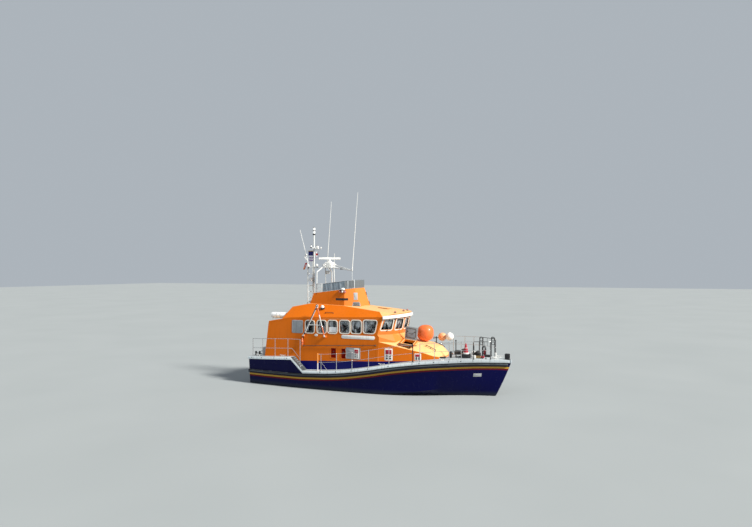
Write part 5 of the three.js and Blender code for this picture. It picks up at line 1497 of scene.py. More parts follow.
class LIFEBOAT_OT_roof_fittings(bpy.types.Operator):
    """Lamps, vents, handholds, domes and the hatch on the roof and the coaming"""

    bl_idname = "lifeboat.roof_fittings"
    bl_label = "Roof fittings"

    def execute(self, context):
        dark, pale, grey, reds = [], [], [], []
        base, lens = round_lamp(0.12, 0.2)
        lamp = basis(hit("main_roof", (-2.80, -5, 4.24), (0, 1, 0))[0], Vector((0, -0.35, 1)).normalized())
        dark += put(lamp, base)
        pale += put(lamp, lens)
        where = on_flank(-2.295, 4.03)
        dark += put(where,
                    pipe([(-0.24, 0, 0), (-0.22, 0, 0.05), (0.22, 0, 0.05), (0.24, 0, 0)], 0.013, 0.03, 16))
        for across in (-0.24, 0.24):
            dark += put(shifted(where, across), disc(-0.002, 0.008, 0.03, sides=16, edge=0.002))
        z, high = SLOT_VENT["z"], SLOT_VENT["high"]
        x, wide = SLOT_VENT["side"]
        dark.append(plate(on_side(x, z, "flying_bridge_coaming"), rectangle(wide, high), 0.006, 0.03))
        (x, y), wide = SLOT_VENT["quarter"]
        dark.append(plate(facing((x, y, z), "flying_bridge_coaming"), rectangle(wide, high), 0.006, 0.03))
        board = facing((-1.05, -0.76, 4.92), "flying_bridge_coaming")
        grey.append(plate(board, rectangle(0.22, 0.40), 0.012, 0.02, 0.003))
        grey += put(shifted(board, -0.05, 0.05, 0.01), block((-0.02, -0.1, 0), (0.02, 0.1, 0.012), 0.004))
        louvre = facing((-1.02, -0.75, 4.50), "flying_bridge_coaming")
        grey.append(plate(louvre, [(-0.24, -0.11), (0.24, -0.11), (0.18, 0.11), (-0.18, 0.11)], 0.012, 0.02,
                          0.003))
        for k in range(4):
            dark += put(shifted(louvre, y=(k - 1.5) * 0.05, z=0.01) @ Matrix.Rotation(0.5, 4, "X"),
                        block((-0.17, -0.012, 0.0), (0.17, 0.012, 0.012), 0.003))
        knee = on_side(-1.72, 5.16, "flying_bridge_coaming")
        pale += put(shifted(knee, 0.02, 0.14, 0.05), ball((0, 0, 0), 0.105, (1.2, 0.75, 0.8), 24, 14))
        for across, size, group in ((-0.15, 0.06, reds), (0.0, 0.055, pale), (0.15, 0.065, reds)):
            group += put(shifted(knee, across), ball((0, 0, 0.05), size, segments=20, rings=12))
            dark += put(shifted(knee, across), disc(-0.01, 0.04, size * 0.7, sides=16))
        dark += put(shifted(knee, y=0.07), block((-0.2, -0.012, -0.004), (0.2, 0.012, 0.05), 0.005))
        apron = facing((0.79, -1.35, 2.74), "foredeck_trunk", (0.5, -0.7, 0.5))
        dark += put(apron, disc(-0.01, 0.03, 0.07, sides=24, edge=0.006))
        pale += put(apron, rod((0.02, 0, 0.03), (0.02, 0, 0.04), 0.045, sides=20, edge=0.003))
        finish_pair(dark, "flank_dark_fittings", enamel("black", 0.4, streaks=0.4), "dark_metal")
        finish_pair(pale, "flank_pale_fittings", enamel("white", 0.35), "white_paint")
        finish_pair(grey, "flank_grey_fittings", enamel("grey", 0.5), "grey_panel")
        finish_pair(reds, "flank_red_lamps", lamp_lens("red lens", (0.35, 0.03, 0.02, 1), 0.02),
                    "orange_vinyl")

        dark, pale, reds = [], [], []
        for x, y in ((1.30, -0.93), (1.45, -0.07), (1.30, 0.93)):
            base, lens = round_lamp(0.06, 0.09)
            spot = on_top(x, y, "main_roof")
            dark += put(spot, base)
            reds += put(spot, lens)
        hatch = on_top(0.35, 0.0, "main_roof")
        lid = [plate(hatch, rectangle(0.62, 0.62), 0.016, 0.08, 0.005)]
        lid.append(plate(shifted(hatch, z=0.012), rectangle(0.48, 0.48), 0.008, 0.06, 0.003))
        placed(lid, "roof_hatch", house_paint(), "house_paint")
        for x, y in ((-3.95, -0.55), (-3.95, 0.55)):
            spot = on_top(x, y, "main_roof")
            pale += put(spot, disc(-0.01, 0.09, 0.05, sides=20, edge=0.004),
                        ball((0, 0, 0.11), 0.085, (1, 1, 0.6), 24, 14))
        placed(dark, "roof_dark_fittings", enamel("black", 0.4, streaks=0.4), "dark_metal")
        placed(pale, "roof_pale_fittings", enamel("white", 0.35, streaks=0.3), "white_paint")
        placed(reds, "roof_red_lamps", lamp_lens("red lens", (0.35, 0.03, 0.02, 1), 0.02), "orange_vinyl")
        return {"FINISHED"}


# Gear on the mast

class LIFEBOAT_OT_mast_gear(bpy.types.Operator):
    """Floodlights, horn, boxes and small aerials carried by the mast"""

    bl_idname = "lifeboat.mast_gear"
    bl_label = "Mast gear"

    def execute(self, context):
        pale, dark, lenses = [], [], []
        for place, turn in (((-3.62, -0.42, 6.62), 25), ((-3.62, 0.42, 6.62), -25),
                            ((-4.22, -0.36, 6.58), 200)):
            where = Matrix.Translation(place) @ Matrix.Rotation(math.radians(turn), 4, "Z")
            pale += put(where, block((-0.07, -0.09, -0.06), (0.05, 0.09, 0.07), 0.02, 3))
            lenses += put(where, block((0.045, -0.075, -0.045), (0.056, 0.075, 0.055), 0.004))
            dark += put(where, pipe([(0, 0, -0.13), (0, 0, -0.05)], 0.014),
                        block((-0.03, -0.03, -0.15), (0.03, 0.03, -0.12), 0.005))
        horn = [(-4.30, -0.3, 6.9), (-4.42, -0.3, 6.98), (-4.5, -0.3, 7.1), (-4.42, -0.3, 7.2)]
        pale.append(pipe(horn, 0.03, 0.08, 16))
        pale.append(rod((-4.42, -0.3, 7.2), (-4.36, -0.3, 7.24), 0.03, 0.055, 24, 0.003))
        pale += [block((-3.90, -0.07, 7.55), (-3.76, 0.05, 7.72), 0.02, 3),
                 block((-4.2, -0.28, 5.7), (-4.06, -0.1, 5.92), 0.02, 3)]
        pale.append(block((-3.3, -0.02, 6.12), (-3.12, 0.16, 6.3), 0.02, 3))
        dark.append(block((-2.14, -0.47, 6.37), (-1.98, -0.40, 6.46), 0.015))
        pale += [rod((-3.6, 0, 7.53), (-3.6, 0, 7.60), 0.022, sides=16, edge=0.004),
                 ball((-3.6, 0, 7.62), 0.045, segments=20)]
        for x, y, z in ((-3.18, -0.33, 6.51), (-2.86, 0.33, 6.51), (-2.86, -0.33, 6.51)):
            pale += [rod((x, y, z - 0.004), (x, y, z + 0.10), 0.016, sides=14),
                     ball((x, y, z + 0.15), 0.062, (1, 1, 0.8), 24, 14)]
        for s in (-1, 1):
            dark.append(pipe([(-4.05, s * 0.05, 4.5), (-4.05, s * 0.05, 7.55)], 0.007, sides=8))
            dark.append(rod((-3.372, s * 0.929, 4.99), (-3.372, s * 0.929, 5.05), 0.05, sides=24,
                            edge=0.006))
        yellow = [block((-4.43, -0.02, 7.425), (-4.085, 0.02, 7.46), 0.012)]
        placed(pale, "mast_boxes", enamel("white", 0.35, streaks=0.3), "white_paint")
        placed(dark, "mast_clamps", enamel("black", 0.45), "dark_metal")
        placed(lenses, "floodlight_lenses", lamp_lens("flood lens", (0.75, 0.78, 0.8, 1), 0.1),
               "white_paint")
        placed(yellow, "flag_batten", enamel("gold", 0.5), "orange_vinyl")
        return {"FINISHED"}


# Foredeck details

FLANGE = {"x": (1.60, 2.44), "y": (-0.56, -1.46), "drop": 0.03}
# The hatch coaming's aft inner corner, its outer edge, and its fall towards the bow over its length
COAMING = {"aft": 1.71, "inner": (-0.62, 2.735), "outer": (-1.27, 2.575), "fall": 0.075, "length": 0.68}


def flange_point(x, y):
    """A point on the plane of the hatch's flange, which follows the coaming"""
    (inner, inner_z), (outer, outer_z) = COAMING["inner"], COAMING["outer"]
    slope = (outer_z - inner_z) / (outer - inner)
    fall = COAMING["fall"] / COAMING["length"]
    return Vector((x, y, inner_z + (y - inner) * slope - (x - COAMING["aft"]) * fall - FLANGE["drop"]))


class LIFEBOAT_OT_foredeck_details(bpy.types.Operator):
    """Hatch flange, bow uprights, cone, boxes, grab rail, stanchion bolts, cleats and bow plates"""

    bl_idname = "lifeboat.foredeck_details"
    bl_label = "Foredeck details"

    def execute(self, context):
        (aft, fore), (inner, outer) = FLANGE["x"], FLANGE["y"]
        where, flat = facet([flange_point(aft, outer), flange_point(fore, outer), flange_point(fore, inner),
                             flange_point(aft, inner)])
        gutter = plate(where, flat, 0.012, 0.06, 0.003, rim=0.09)
        placed(gutter, "hatch_flange", enamel("orange", 0.4), "house_paint")
        flat = [Vector(corner) for corner in flat]
        strip = [flat[0], flat[1], flat[1].lerp(flat[2], 0.28), flat[0].lerp(flat[3], 0.28)]
        drain = plate(where, grown(strip, -0.02), 0.018, 0.03, 0.003)
        placed(drain, "hatch_gutter", enamel("hatch_brown", 0.6, streaks=0.4), "dark_metal")

        dark, pale, reds, golds = [], [], [], []
        for (x0, y0), (x1, y1) in (((5.50, 0.29), (5.66, 0.29)), ((6.05, 0.54), (6.22, 0.54)),
                                   ((5.84, -0.62), (6.02, -0.60))):
            tall = 0.98 if y0 > 0 else 0.62
            posts = [deck_at(x0, y0), deck_at(x1, y1)]
            heads = [post + UP * tall for post in posts]
            line = [posts[0] - UP * 0.01, *heads, posts[1] - UP * 0.01]
            dark.append(pipe(line, 0.019, 0.07, 16))
            middle = (heads[0] + heads[1]) / 2
            dark += [hoop(middle - UP * d, 0.075, 0.014, Vector((0.3, 1, 0)), 24, 8) for d in (0.12, 0.32)]
            dark += [upright(post, -0.002, 0.014, 0.05, sides=20, edge=0.003) for post in posts]
        foot = deck_at(4.47, -0.55)
        dark += [pipe([foot - UP * 0.01, foot + UP * 0.86], 0.024, sides=16),
                 ball(foot + UP * 0.87, 0.04, segments=20),
                 pipe([foot + UP * 0.05, foot + Vector((0.62, 0, 0.05))], 0.02, sides=16)]
        foot = deck_at(4.98, -0.52)
        reds += [upright(foot, 0.26, 0.72, 0.13, 0.03, 28, 0.006)]
        pale += [upright(foot, 0.20, 0.27, 0.17, 0.15, 28, 0.006), hoop(foot + UP * 0.50, 0.078, 0.012)]
        dark += [block(foot + Vector((-0.2, -0.2, -0.004)), foot + Vector((0.2, 0.2, 0.2)), 0.02)]
        for x, y, size, group in (
            (5.76, -0.36, (0.24, 0.14, 0.10), reds), (5.42, -0.66, (0.2, 0.16, 0.16), pale),
            (5.62, -0.52, (0.26, 0.12, 0.13), golds), (6.31, 0.34, (0.1, 0.06, 0.22), pale),
            (4.3, 0.75, (0.5, 0.3, 0.22), dark), (3.9, -0.95, (0.3, 0.14, 0.1), dark),
            (5.36, -0.44, (0.07, 0.07, 0.62), dark), (5.95, 0.1, (0.3, 0.16, 0.12), dark),
            (6.35, -0.2, (0.22, 0.12, 0.09), pale), (5.1, 0.62, (0.22, 0.18, 0.2), pale),
            (4.2, -0.62, (0.16, 0.12, 0.34), dark), (5.72, 0.5, (0.12, 0.12, 0.3), reds),
        ):
            foot = deck_at(x, y)
            half = Vector((size[0] / 2, size[1] / 2, 0))
            group.append(block(foot - half - UP * 0.004, foot + half + UP * size[2], min(size) * 0.25, 3))
        placed(dark, "foredeck_dark_gear", enamel("black", 0.42, streaks=0.4), "dark_metal")
        placed(pale, "foredeck_pale_gear", enamel("white", 0.4, streaks=0.4), "white_paint")
        placed(reds, "foredeck_red_gear", enamel("crimson_bright", 0.45), "orange_vinyl")
        placed(golds, "foredeck_brass_gear", enamel("bronze", 0.35, metallic=0.7), "bronze")

        feet = []
        for x in (*AFT_POSTS, *SIDE_POSTS, *BOW_POSTS):
            spot = at_rail(x, -0.055, -0.045)
            feet.append(rod(spot, spot - Vector((0, 0.012, 0)), 0.024, sides=16, edge=0.002))
        grips = [on_top(x, -0.75, "foredeck_trunk") @ Vector((0, 0, 0.07)) for x in (2.93, 3.18, 3.43)]
        grab = [pipe(grips, 0.016, 0.05, 16), *(ball(grip, 0.024, segments=16, rings=10) for grip in grips)]
        grab += [pipe([grip - UP * 0.09, grip], 0.013) for grip in grips]
        finish_pair(grab, "trunk_grab_rail", enamel("black", 0.5), "dark_metal", smooth=50)
        cleats = []
        for x in (-6.55, -4.9, 1.0, 4.05, 6.5):
            foot = at_rail(x, 0, 0.16)
            cleats += [rod(foot + Vector((s * 0.05, 0, -0.004)), foot + Vector((s * 0.05, 0, 0.07)), 0.018,
                           sides=16)
                       for s in (-1, 1)]
            cleats += [pipe([foot + Vector((-0.17, 0, 0.09)), foot + Vector((-0.08, 0, 0.07)),
                             foot + Vector((0.08, 0, 0.07)), foot + Vector((0.17, 0, 0.09))], 0.017, 0.04,
                             16)]
            cleats += [block(foot + Vector((-0.09, -0.035, -0.003)), foot + Vector((0.09, 0.035, 0.008)),
                             0.003)]
        finish_pair(feet, "stanchion_bolts", enamel("black", 0.5), "dark_metal")
        finish_pair(cleats, "deck_cleats", enamel("white", 0.35, streaks=0.4), "white_paint", smooth=50)

        where = basis(*hit("hull", (5.62, -5, 1.11), (0, 1, 0)))
        board = plate(where, rectangle(0.42, 0.18), 0.008, 0.01, 0.002)
        finish_pair(board, "bow_plate", enamel("grey", 0.5), "grey_panel")
        return {"FINISHED"}


# Deck gear

RAFT = {"radius": 0.163, "drop": 0.165}


class LIFEBOAT_OT_liferaft(bpy.types.Operator):
    """Liferaft canister in its cradle, with straps"""

    bl_idname = "lifeboat.liferaft"
    bl_label = "Liferaft"

    def execute(self, context):
        low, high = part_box("liferaft_canister")
        y, z, radius = (low.y + high.y) / 2, high.z - RAFT["drop"], RAFT["radius"]
        shell = rod((low.x + 0.01, y, z), (high.x - 0.01, y, z), radius, sides=40, edge=0.035)
        ribs = [hoop((x, y, z), radius, 0.005, AHEAD, 40, 8) for x in (low.x + 0.25, high.x - 0.25)]
        seam = [block((low.x + 0.04, y - radius - 0.004, z - 0.008),
                      (high.x - 0.04, y + radius + 0.004, z + 0.008), 0.003)]
        placed([shell, *ribs, *seam], "liferaft_shell", enamel("card", 0.35, coat=0.15), "white_paint",
               stands_for=("liferaft_canister",))
        straps = [hoop((x, y, z), radius + 0.004, 0.008, AHEAD, 40, 6)
                  for x in (low.x + 0.38, high.x - 0.38)]
        placed(straps, "liferaft_straps", enamel("grey", 0.7), "black_rubber")
        cradle = []
        for x in (low.x + 0.16, high.x - 0.16):
            cradle.append(pipe([(x, y - 0.16, low.z + 0.01), (x, y - 0.16, z - 0.03)], 0.014))
            cradle.append(pipe([(x, y + 0.16, low.z + 0.04), (x, y + 0.16, z - 0.03)], 0.014))
            cradle.append(pipe([(x, y - 0.16, z - 0.13), (x, y + 0.16, z - 0.13)], 0.014))
        placed(cradle, "liferaft_cradle", polished_steel(), "rail_steel")
        return {"FINISHED"}


DAVIT = {"aft": -3.71, "fore": -2.41, "head": -2.85, "y": -1.84, "foot": 2.79, "top": 4.43, "cross": 0.6}


class LIFEBOAT_OT_davit(bpy.types.Operator):
    """Recovery davit: an A-frame with its tackle"""

    bl_idname = "lifeboat.davit"
    bl_label = "Recovery davit"

    def execute(self, context):
        head = Vector((DAVIT["head"], DAVIT["y"], DAVIT["top"]))
        feet = [Vector((DAVIT[key], DAVIT["y"], DAVIT["foot"])) for key in ("aft", "fore")]
        tubes, sleeves = [], []
        for foot in feet:
            way = (head - foot).normalized()
            tubes.append(pipe([foot, head - way * 0.03], 0.029, sides=20))
            across = Vector((0.046, 0, 0))
            tubes.append(rod(foot - across, foot + across, 0.028, sides=20, edge=0.004))
            tubes.append(rod(foot - across * 1.56, foot + across * 1.56, 0.011, sides=16, edge=0.002))
            for t in (0.3, 0.62):
                spot = foot.lerp(head, t)
                tubes.append(rod(spot - way * 0.02, spot + way * 0.02, 0.034, sides=20, edge=0.004))
        level = [foot.lerp(head, DAVIT["cross"] / (head.z - foot.z)) for foot in feet]
        tubes.append(pipe(level, 0.0175, sides=16))
        tubes.append(block(head - Vector((0.06, 0.04, 0.06)), head + Vector((0.06, 0.04, 0.06)), 0.014, 3))
        placed(tubes, "davit_frame", enamel("mast", 0.38, streaks=0.4), "white_paint",
               body="recovery_davit",
               stands_for=("recovery_davit",), smooth=45)
        aft, fore = feet
        for foot, low, high in ((aft, 0.46, 0.90), (fore, 0.05, 0.34), (fore, 0.70, 0.93)):
            sleeves.append(rod(foot.lerp(head, low), foot.lerp(head, high), 0.034, sides=20, edge=0.006))
        placed(sleeves, "davit_sleeves", inflated("worn cover", (0.58, 0.12, 0.03, 1), 0.25),
               "orange_vinyl",
               body="recovery_davit")
        out, along = Vector((0, -0.03, 0)), Vector((0.052, -0.012, 0.02))
        tackle = [pipe([aft.lerp(head, 0.07) + along, aft.lerp(head, 0.88) + along], 0.021, sides=16)]
        tackle.append(rod(head + out, head + out * 1.5, 0.036, sides=24, edge=0.004))
        placed(tackle, "davit_tackle", enamel("mast", 0.5), "white_paint", body="recovery_davit")
        dark = [pipe([aft.lerp(head, 0.05) + along / 2 + out, aft.lerp(head, 0.9) + along / 2 + out], 0.009,
                     sides=12)]
        dark.append(hoop(head + out, 0.056, 0.016, Vector((0, 1, 0)), 28, 10))
        for t in (0.07, 0.88):
            spot = aft.lerp(head, t) + along
            dark.append(block(spot - Vector((0.03, 0.026, 0.045)), spot + Vector((0.03, 0.026, 0.045)),
                              0.012, 3))
        placed(dark, "davit_blocks", enamel("black", 0.45), "dark_metal", body="recovery_davit")
        return {"FINISHED"}


def lashed_ball(node, square, peak):
    """A ball fender with its seam: square is 2 when it is round and more when boxy, peak raises its eye"""
    low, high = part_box(node)
    middle, radius = (low + high) / 2, (high.x - low.x) / 2
    body = ball((0, 0, 0), radius, segments=40, rings=24)
    for vertex in body.data.vertices:
        way = vertex.co / radius
        vertex.co = vertex.co / sum(abs(part) ** square for part in way) ** (1 / square)
        rise = max(0.0, (way.z - 0.72) / 0.28)
        vertex.co.x *= 1 - 0.45 * rise * min(1.0, peak * 50)
        vertex.co.y *= 1 - 0.45 * rise * min(1.0, peak * 50)
        vertex.co.z += rise * peak
    seam = hoop((0, 0, 0), radius * 0.998, 0.006, UP, 48, 6)
    return [moved(part, Matrix.Translation(middle)) for part in (body, seam)]


class LIFEBOAT_OT_fenders(bpy.types.Operator):
    """Ball fenders on the trunk and on the bow rail"""

    bl_idname = "lifeboat.fenders"
    bl_label = "Ball fenders"

    def execute(self, context):
        orange, white = tone("vinyl"), tone("white")
        for node, material, slot, square, peak in (
            ("ball_fender_large", inflated("orange cover", orange, 0.25), "orange_vinyl", 2.5, 0.0),
            ("ball_fender_orange", inflated("mottled cover", orange, 0.4, (0.86, 0.42, 0.2, 1)),
             "orange_vinyl",
             2.3, 0.0),
            ("ball_fender_white", inflated("white cover", white, 0.3), "white_paint", 2.0, 0.02),
        ):
            parts = lashed_ball(node, square, peak)
            placed(parts, node + "_skin", material, slot, stands_for=(node,), smooth=60)
        return {"FINISHED"}


class LIFEBOAT_OT_hatch(bpy.types.Operator):
    """Foredeck hatch: lid with its rim, dogs and seal"""

    bl_idname = "lifeboat.hatch"
    bl_label = "Foredeck hatch"

    def execute(self, context):
        lid = refined("hatch_lid", 0.012, 3)
        placed(lid, "hatch_cover", enamel("grey", 0.5, streaks=0.35), "grey_panel", body="hatch_lid",
               stands_for=("hatch_lid",))
        inside = on_side(2.087, 3.045, "hatch_lid", -6.3)
        seal = plate(inside, rectangle(0.53, 0.51), 0.010, 0.07, 0.003, rim=0.03)
        dogs = put(inside, pipe([(-0.12, -0.02, 0), (-0.12, -0.02, 0.03), (0.12, -0.02, 0.03),
                                 (0.12, -0.02, 0)], 0.010, 0.02))
        for across in (-0.19, 0.19):
            dogs += put(shifted(inside, across),
                        rod((0, 0.08, -0.002), (0, 0.08, 0.028), 0.028, sides=20, edge=0.004))
        placed([seal, *dogs], "hatch_seal_and_dogs", enamel("hatch_brown", 0.5), "dark_metal",
               body="hatch_lid")
        return {"FINISHED"}


class LIFEBOAT_OT_foredeck_gear(bpy.types.Operator):
    """Towing bollard, anchor windlass and stem fairlead"""

    bl_idname = "lifeboat.foredeck_gear"
    bl_label = "Foredeck gear"

    def execute(self, context):
        for node, name, edge in (
            ("towing_bollard", "bollard_posts", 0.008), ("anchor_windlass", "windlass_body", 0.01),
            ("stem_fairlead", "fairlead_casting", 0.008),
        ):
            piece = refined(node, edge, 2, angle=40)
            placed(piece, name, enamel("black", 0.45, streaks=0.4), "dark_metal", stands_for=(node,))
        return {"FINISHED"}


STRIPED_FLAG = ((-4.38, -0.008, 6.83), (-4.10, 0.008, 7.11))
BUNTING = {"thick": 0.0012, "threads": 420.0, "wave": 0.020}


class LIFEBOAT_OT_flags(bpy.types.Operator):
    """Four small flags in a light wind"""

    bl_idname = "lifeboat.flags"
    bl_label = "Flags"

    def execute(self, context):
        white, red, navy = (0.98, 0.97, 0.98, 1), (0.55, 0.015, 0.02, 1), (0.015, 0.018, 0.16, 1)
        violet, orange, full = (0.20, 0.10, 0.36, 1), (0.8, 0.25, 0.06, 1), (0.0, 1.0)
        field = (((0.30, 0.74), (0.32, 0.68), red), ((0.93, 1.0), full, violet),
                 (full, (0.0, 0.07), violet))
        stripes = [(full, (v, v + 0.17), violet) for v in (0.12, 0.45, 0.78)]
        dipped = ((full, (0.0, 0.3), orange), ((0.4, 0.6), (0.3, 0.8), white))
        for node, box, tint, patches, phase, folds, lean in (
            ("flag_navy", None, navy, (), 0.4, 8.2, 0.0), ("flag_white", None, white, field, 1.6, 8.2, 0.0),
            ("flag_red", None, red, dipped, 2.6, 15.0, 0.54),
            ("flag_striped", STRIPED_FLAG, white, stripes, 3.1, 8.2, 0.0),
        ):
            low, high = (Vector(p) for p in box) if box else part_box(node)
            wide, tall = (high.x - low.x) * (1 - lean), high.z - low.z
            bpy.ops.mesh.primitive_grid_add(x_subdivisions=40, y_subdivisions=20, size=1)
            flag = bpy.context.object
            for vertex in flag.data.vertices:
                u, v = vertex.co.x + 0.5, vertex.co.y + 0.5
                wave = math.sin(u * folds + phase + v * 1.2) * (0.25 + 0.75 * u)
                vertex.co = (low.x + u * wide + v * lean * (high.x - low.x),
                             (low.y + high.y) / 2 + BUNTING["wave"] * wave,
                             low.z + v * tall - 0.012 * u * math.sin(v * 3.0 + phase))
            with_modifier(flag, "SOLIDIFY", thickness=BUNTING["thick"], offset=0)
            slot = "flag_white_cloth" if box else node + "_cloth"
            bunting = cloth(node + " bunting", tint, BUNTING["threads"], tuple(patches), 0.05)
            placed(flag, node + "_bunting", bunting, slot,
                   stands_for=() if box else (node,), smooth=80, weld=0.00001)
        return {"FINISHED"}


DODGER_LOW = ((-2.95, -0.972, 5.145), (-1.62, -1.0, 5.305), (-1.18, -0.66, 5.355))
DODGER_HIGH = ((-2.95, -0.972, 5.590), (-1.62, -1.0, 5.755), (-1.18, -0.66, 5.790))
DODGER_INSET = 0.012
CANVAS_THICK = 0.0016
DODGER_POSTS = (0.0, 0.14, 0.27, 0.37, 0.5, 0.63, 0.73, 0.86, 1.0)
DODGER_SEAMS = (0.10, 0.22, 0.30, 0.37, 0.63, 0.70, 0.78, 0.90)


def round_the_bridge(line):
    """A starboard line set inwards, and on round the front to port"""
    points = [Vector((x, y + DODGER_INSET, z)) for x, y, z in line]
    return points + [Vector((p.x, -p.y, p.z)) for p in reversed(points)]


def point_along(line, spans, t):
    """The point at a share of a line's foot, and the way it runs there"""
    left = t * sum(spans)
    for span, a, b in zip(spans, line, line[1:]):
        if left <= span + 1e-6:
            return a.lerp(b, left / span), (b - a).normalized()
        left -= span
    return line[-1], (line[-1] - line[-2]).normalized()


class LIFEBOAT_OT_dodger(bpy.types.Operator):
    """Canvas dodger laced round the upper steering position"""

    bl_idname = "lifeboat.dodger"
    bl_label = "Canvas dodger"

    def execute(self, context):
        low, high = round_the_bridge(DODGER_LOW), round_the_bridge(DODGER_HIGH)
        spans = [(b - a).length for a, b in zip(low, low[1:])]
        total = sum(spans)
        bpy.ops.mesh.primitive_grid_add(x_subdivisions=208, y_subdivisions=18, size=1)
        canvas = bpy.context.object
        for vertex in canvas.data.vertices:
            u, v = vertex.co.x + 0.5, vertex.co.y + 0.5
            (foot, way), (head, _) = point_along(low, spans, u), point_along(high, spans, u)
            out = way.cross(UP).normalized()
            belly = math.sin(math.pi * v) * 0.012 * math.sin(u * total * 10.5) ** 2
            belly += 0.004 * math.sin(u * total * 37 + v * 2.2)
            vertex.co = foot.lerp(head, v * 0.985 + 0.008) + out * belly
        with_modifier(canvas, "SOLIDIFY", thickness=CANVAS_THICK, offset=0)
        # The front and the front quarters of the canvas take a darker tint: painted shade where the key
        # light falls on them
        pale, dull, front = (0.55, 0.60, 0.64, 1), (0.12, 0.16, 0.20, 1), (0.125, 0.145, 0.16, 1)
        quarter = (spans[0] / total, 1 - spans[0] / total)
        seams = [((u - 0.003, u + 0.003), (0.0, 1.0), pale) for u in DODGER_SEAMS]
        hems = [((0.0, 1.0), ends, dull) for ends in ((0.0, 0.05), (0.95, 1.0))]
        canvas_cloth = cloth("dodger canvas", tone("canvas"), 900.0,
                             ((quarter, (0.0, 1.0), front), *hems, *seams))
        placed(canvas, "dodger_canvas", canvas_cloth, "grey_canvas", stands_for=("flying_bridge_dodger",),
               smooth=80, weld=0.00001)
        rim = [pipe([*(p + UP * 0.004 for p in high)], 0.013, 0.06),
               pipe([*(p + UP * 0.012 for p in low)], 0.010, 0.06)]
        for t in DODGER_POSTS:
            (foot, way), (head, _) = point_along(low, spans, t), point_along(high, spans, t)
            back = way.cross(UP).normalized() * -0.02
            rim.append(pipe([foot + back - UP * 0.02, head + back], 0.012))
        for s in (-1, 1):
            aft, fore = (-3.36, s * 0.955), (-2.97, s * 0.955)
            rim += [pipe([(*fore, z), (*aft, z - 0.01)], 0.012) for z in (5.60, 5.39, 5.18)]
            rim += [pipe([(*end, 5.12), (*end, 5.60)], 0.014) for end in (aft, fore)]
        placed(rim, "dodger_rails", polished_steel(), "rail_steel")
        return {"FINISHED"}


# Underwater

class LIFEBOAT_OT_underwater(bpy.types.Operator):
    """Propellers, rudders, engine blocks and the hull's anodes"""

    bl_idname = "lifeboat.underwater"
    bl_label = "Propellers and rudders"

    def execute(self, context):
        for side in ("starboard", "port"):
            for part in ("propeller", "rudder"):
                node = f"{part}_{side}"
                piece = refined(node, 0.004, 2, angle=40)
                placed(piece, node + "_casting", cast_bronze(), "bronze", body=node, stands_for=(node,))
            engine = refined("engine_" + side, 0.02)
            placed(engine, f"engine_{side}_block", enamel("grey", 0.5), "dark_metal",
                   stands_for=("engine_" + side,))
        anodes = []
        for x, z in ((-6.3, -0.35), (-5.2, -0.45), (-1.0, -0.55), (1.8, -0.45)):
            where = basis(*hit("hull", (x, -5, z), (0, 1, 0)))
            anodes.append(plate(where, rectangle(0.30, 0.09), 0.03, 0.03, 0.008))
            for across in (-0.11, 0.11):
                anodes += put(shifted(where, across), disc(0.02, 0.036, 0.014, sides=12))
        finish_pair(anodes, "hull_anodes", enamel("grey", 0.7, metallic=0.3), "dark_metal")
        return {"FINISHED"}


# Aft end

def from_aft(node, y, z):
    """A place on a node seen from astern"""
    return basis(*hit(node, (-12, y, z), (1, 0, 0)))


class LIFEBOAT_OT_aft_door(bpy.types.Operator):
    """Aft door with its pane, lever and hinge straps, and the wall's fittings round it"""

    bl_idname = "lifeboat.aft_door"
    bl_label = "Aft door and wall"

    def execute(self, context):
        door = refined("aft_door", 0.01, 2)
        placed(door, "aft_door_leaf", enamel("orange", 0.36), "house_paint", body="aft_door",
               stands_for=("aft_door",))
        pane = from_aft("aft_door", 0.0, 2.86)
        rims = [plate(pane, rectangle(0.40, 0.46), 0.014, 0.09, 0.004, rim=0.045)]
        dark = [plate(pane, rectangle(0.33, 0.39), 0.006, 0.06, sunk=0.001)]
        lever = from_aft("aft_door", 0.24, 2.36)
        dark += put(lever, disc(-0.004, 0.02, 0.035, sides=24, edge=0.004),
                    pipe([(0, 0, 0), (0, 0, 0.05), (0, -0.17, 0.05)], 0.012, 0.03, 16))
        for z in (1.95, 3.08):
            strap = from_aft("aft_door", -0.2, z)
            dark += put(strap, block((-0.10, -0.022, -0.002), (0.10, 0.022, 0.012), 0.005))
        for z in (1.95, 2.55, 3.12):
            dog = from_aft("aft_door", 0.29, z)
            dark += put(dog, disc(-0.002, 0.018, 0.022, sides=16, edge=0.003))
        placed(rims, "aft_door_rim", enamel("cream", 0.42), "white_paint", body="aft_door")
        placed(dark, "aft_door_fittings", enamel("black", 0.3), "dark_metal", body="aft_door")

        rails, boxes, black = [], [], []
        for y in (0.72, 1.15):
            low, high = from_aft("house_aft_wall", y, 2.15), from_aft("house_aft_wall", y, 3.0)
            ends = [place @ Vector((0, 0, depth))
                    for place, depth in ((low, 0), (low, 0.06), (high, 0.06), (high, 0))]
            rails.append(pipe(ends, 0.014, 0.04, 16))
            for place in (low, high):
                rails += put(place, disc(-0.002, 0.008, 0.032, sides=20))
        window = from_aft("house_aft_wall", 0.93, 2.72)
        boxes.append(plate(window, rectangle(0.30, 0.44), 0.016, 0.08, 0.004, rim=0.045))
        black.append(plate(window, rectangle(0.22, 0.36), 0.006, 0.05))
        lamp = from_aft("house_aft_wall", 0.95, 3.24)
        boxes += put(lamp, block((-0.09, -0.06, 0.03), (0.09, 0.06, 0.12), 0.02, 3))
        black += put(lamp, block((-0.02, -0.02, -0.004), (0.02, 0.02, 0.05), 0.004),
                     block((-0.075, -0.045, 0.112), (0.075, 0.045, 0.124), 0.004))
        finish_pair(rails, "aft_wall_grabs", polished_steel(), "rail_steel", smooth=50)
        finish_pair(boxes, "aft_wall_frames", enamel("white", 0.4), "white_paint")
        finish_pair(black, "aft_wall_panes", enamel("black", 0.15), "dark_metal")
        return {"FINISHED"}


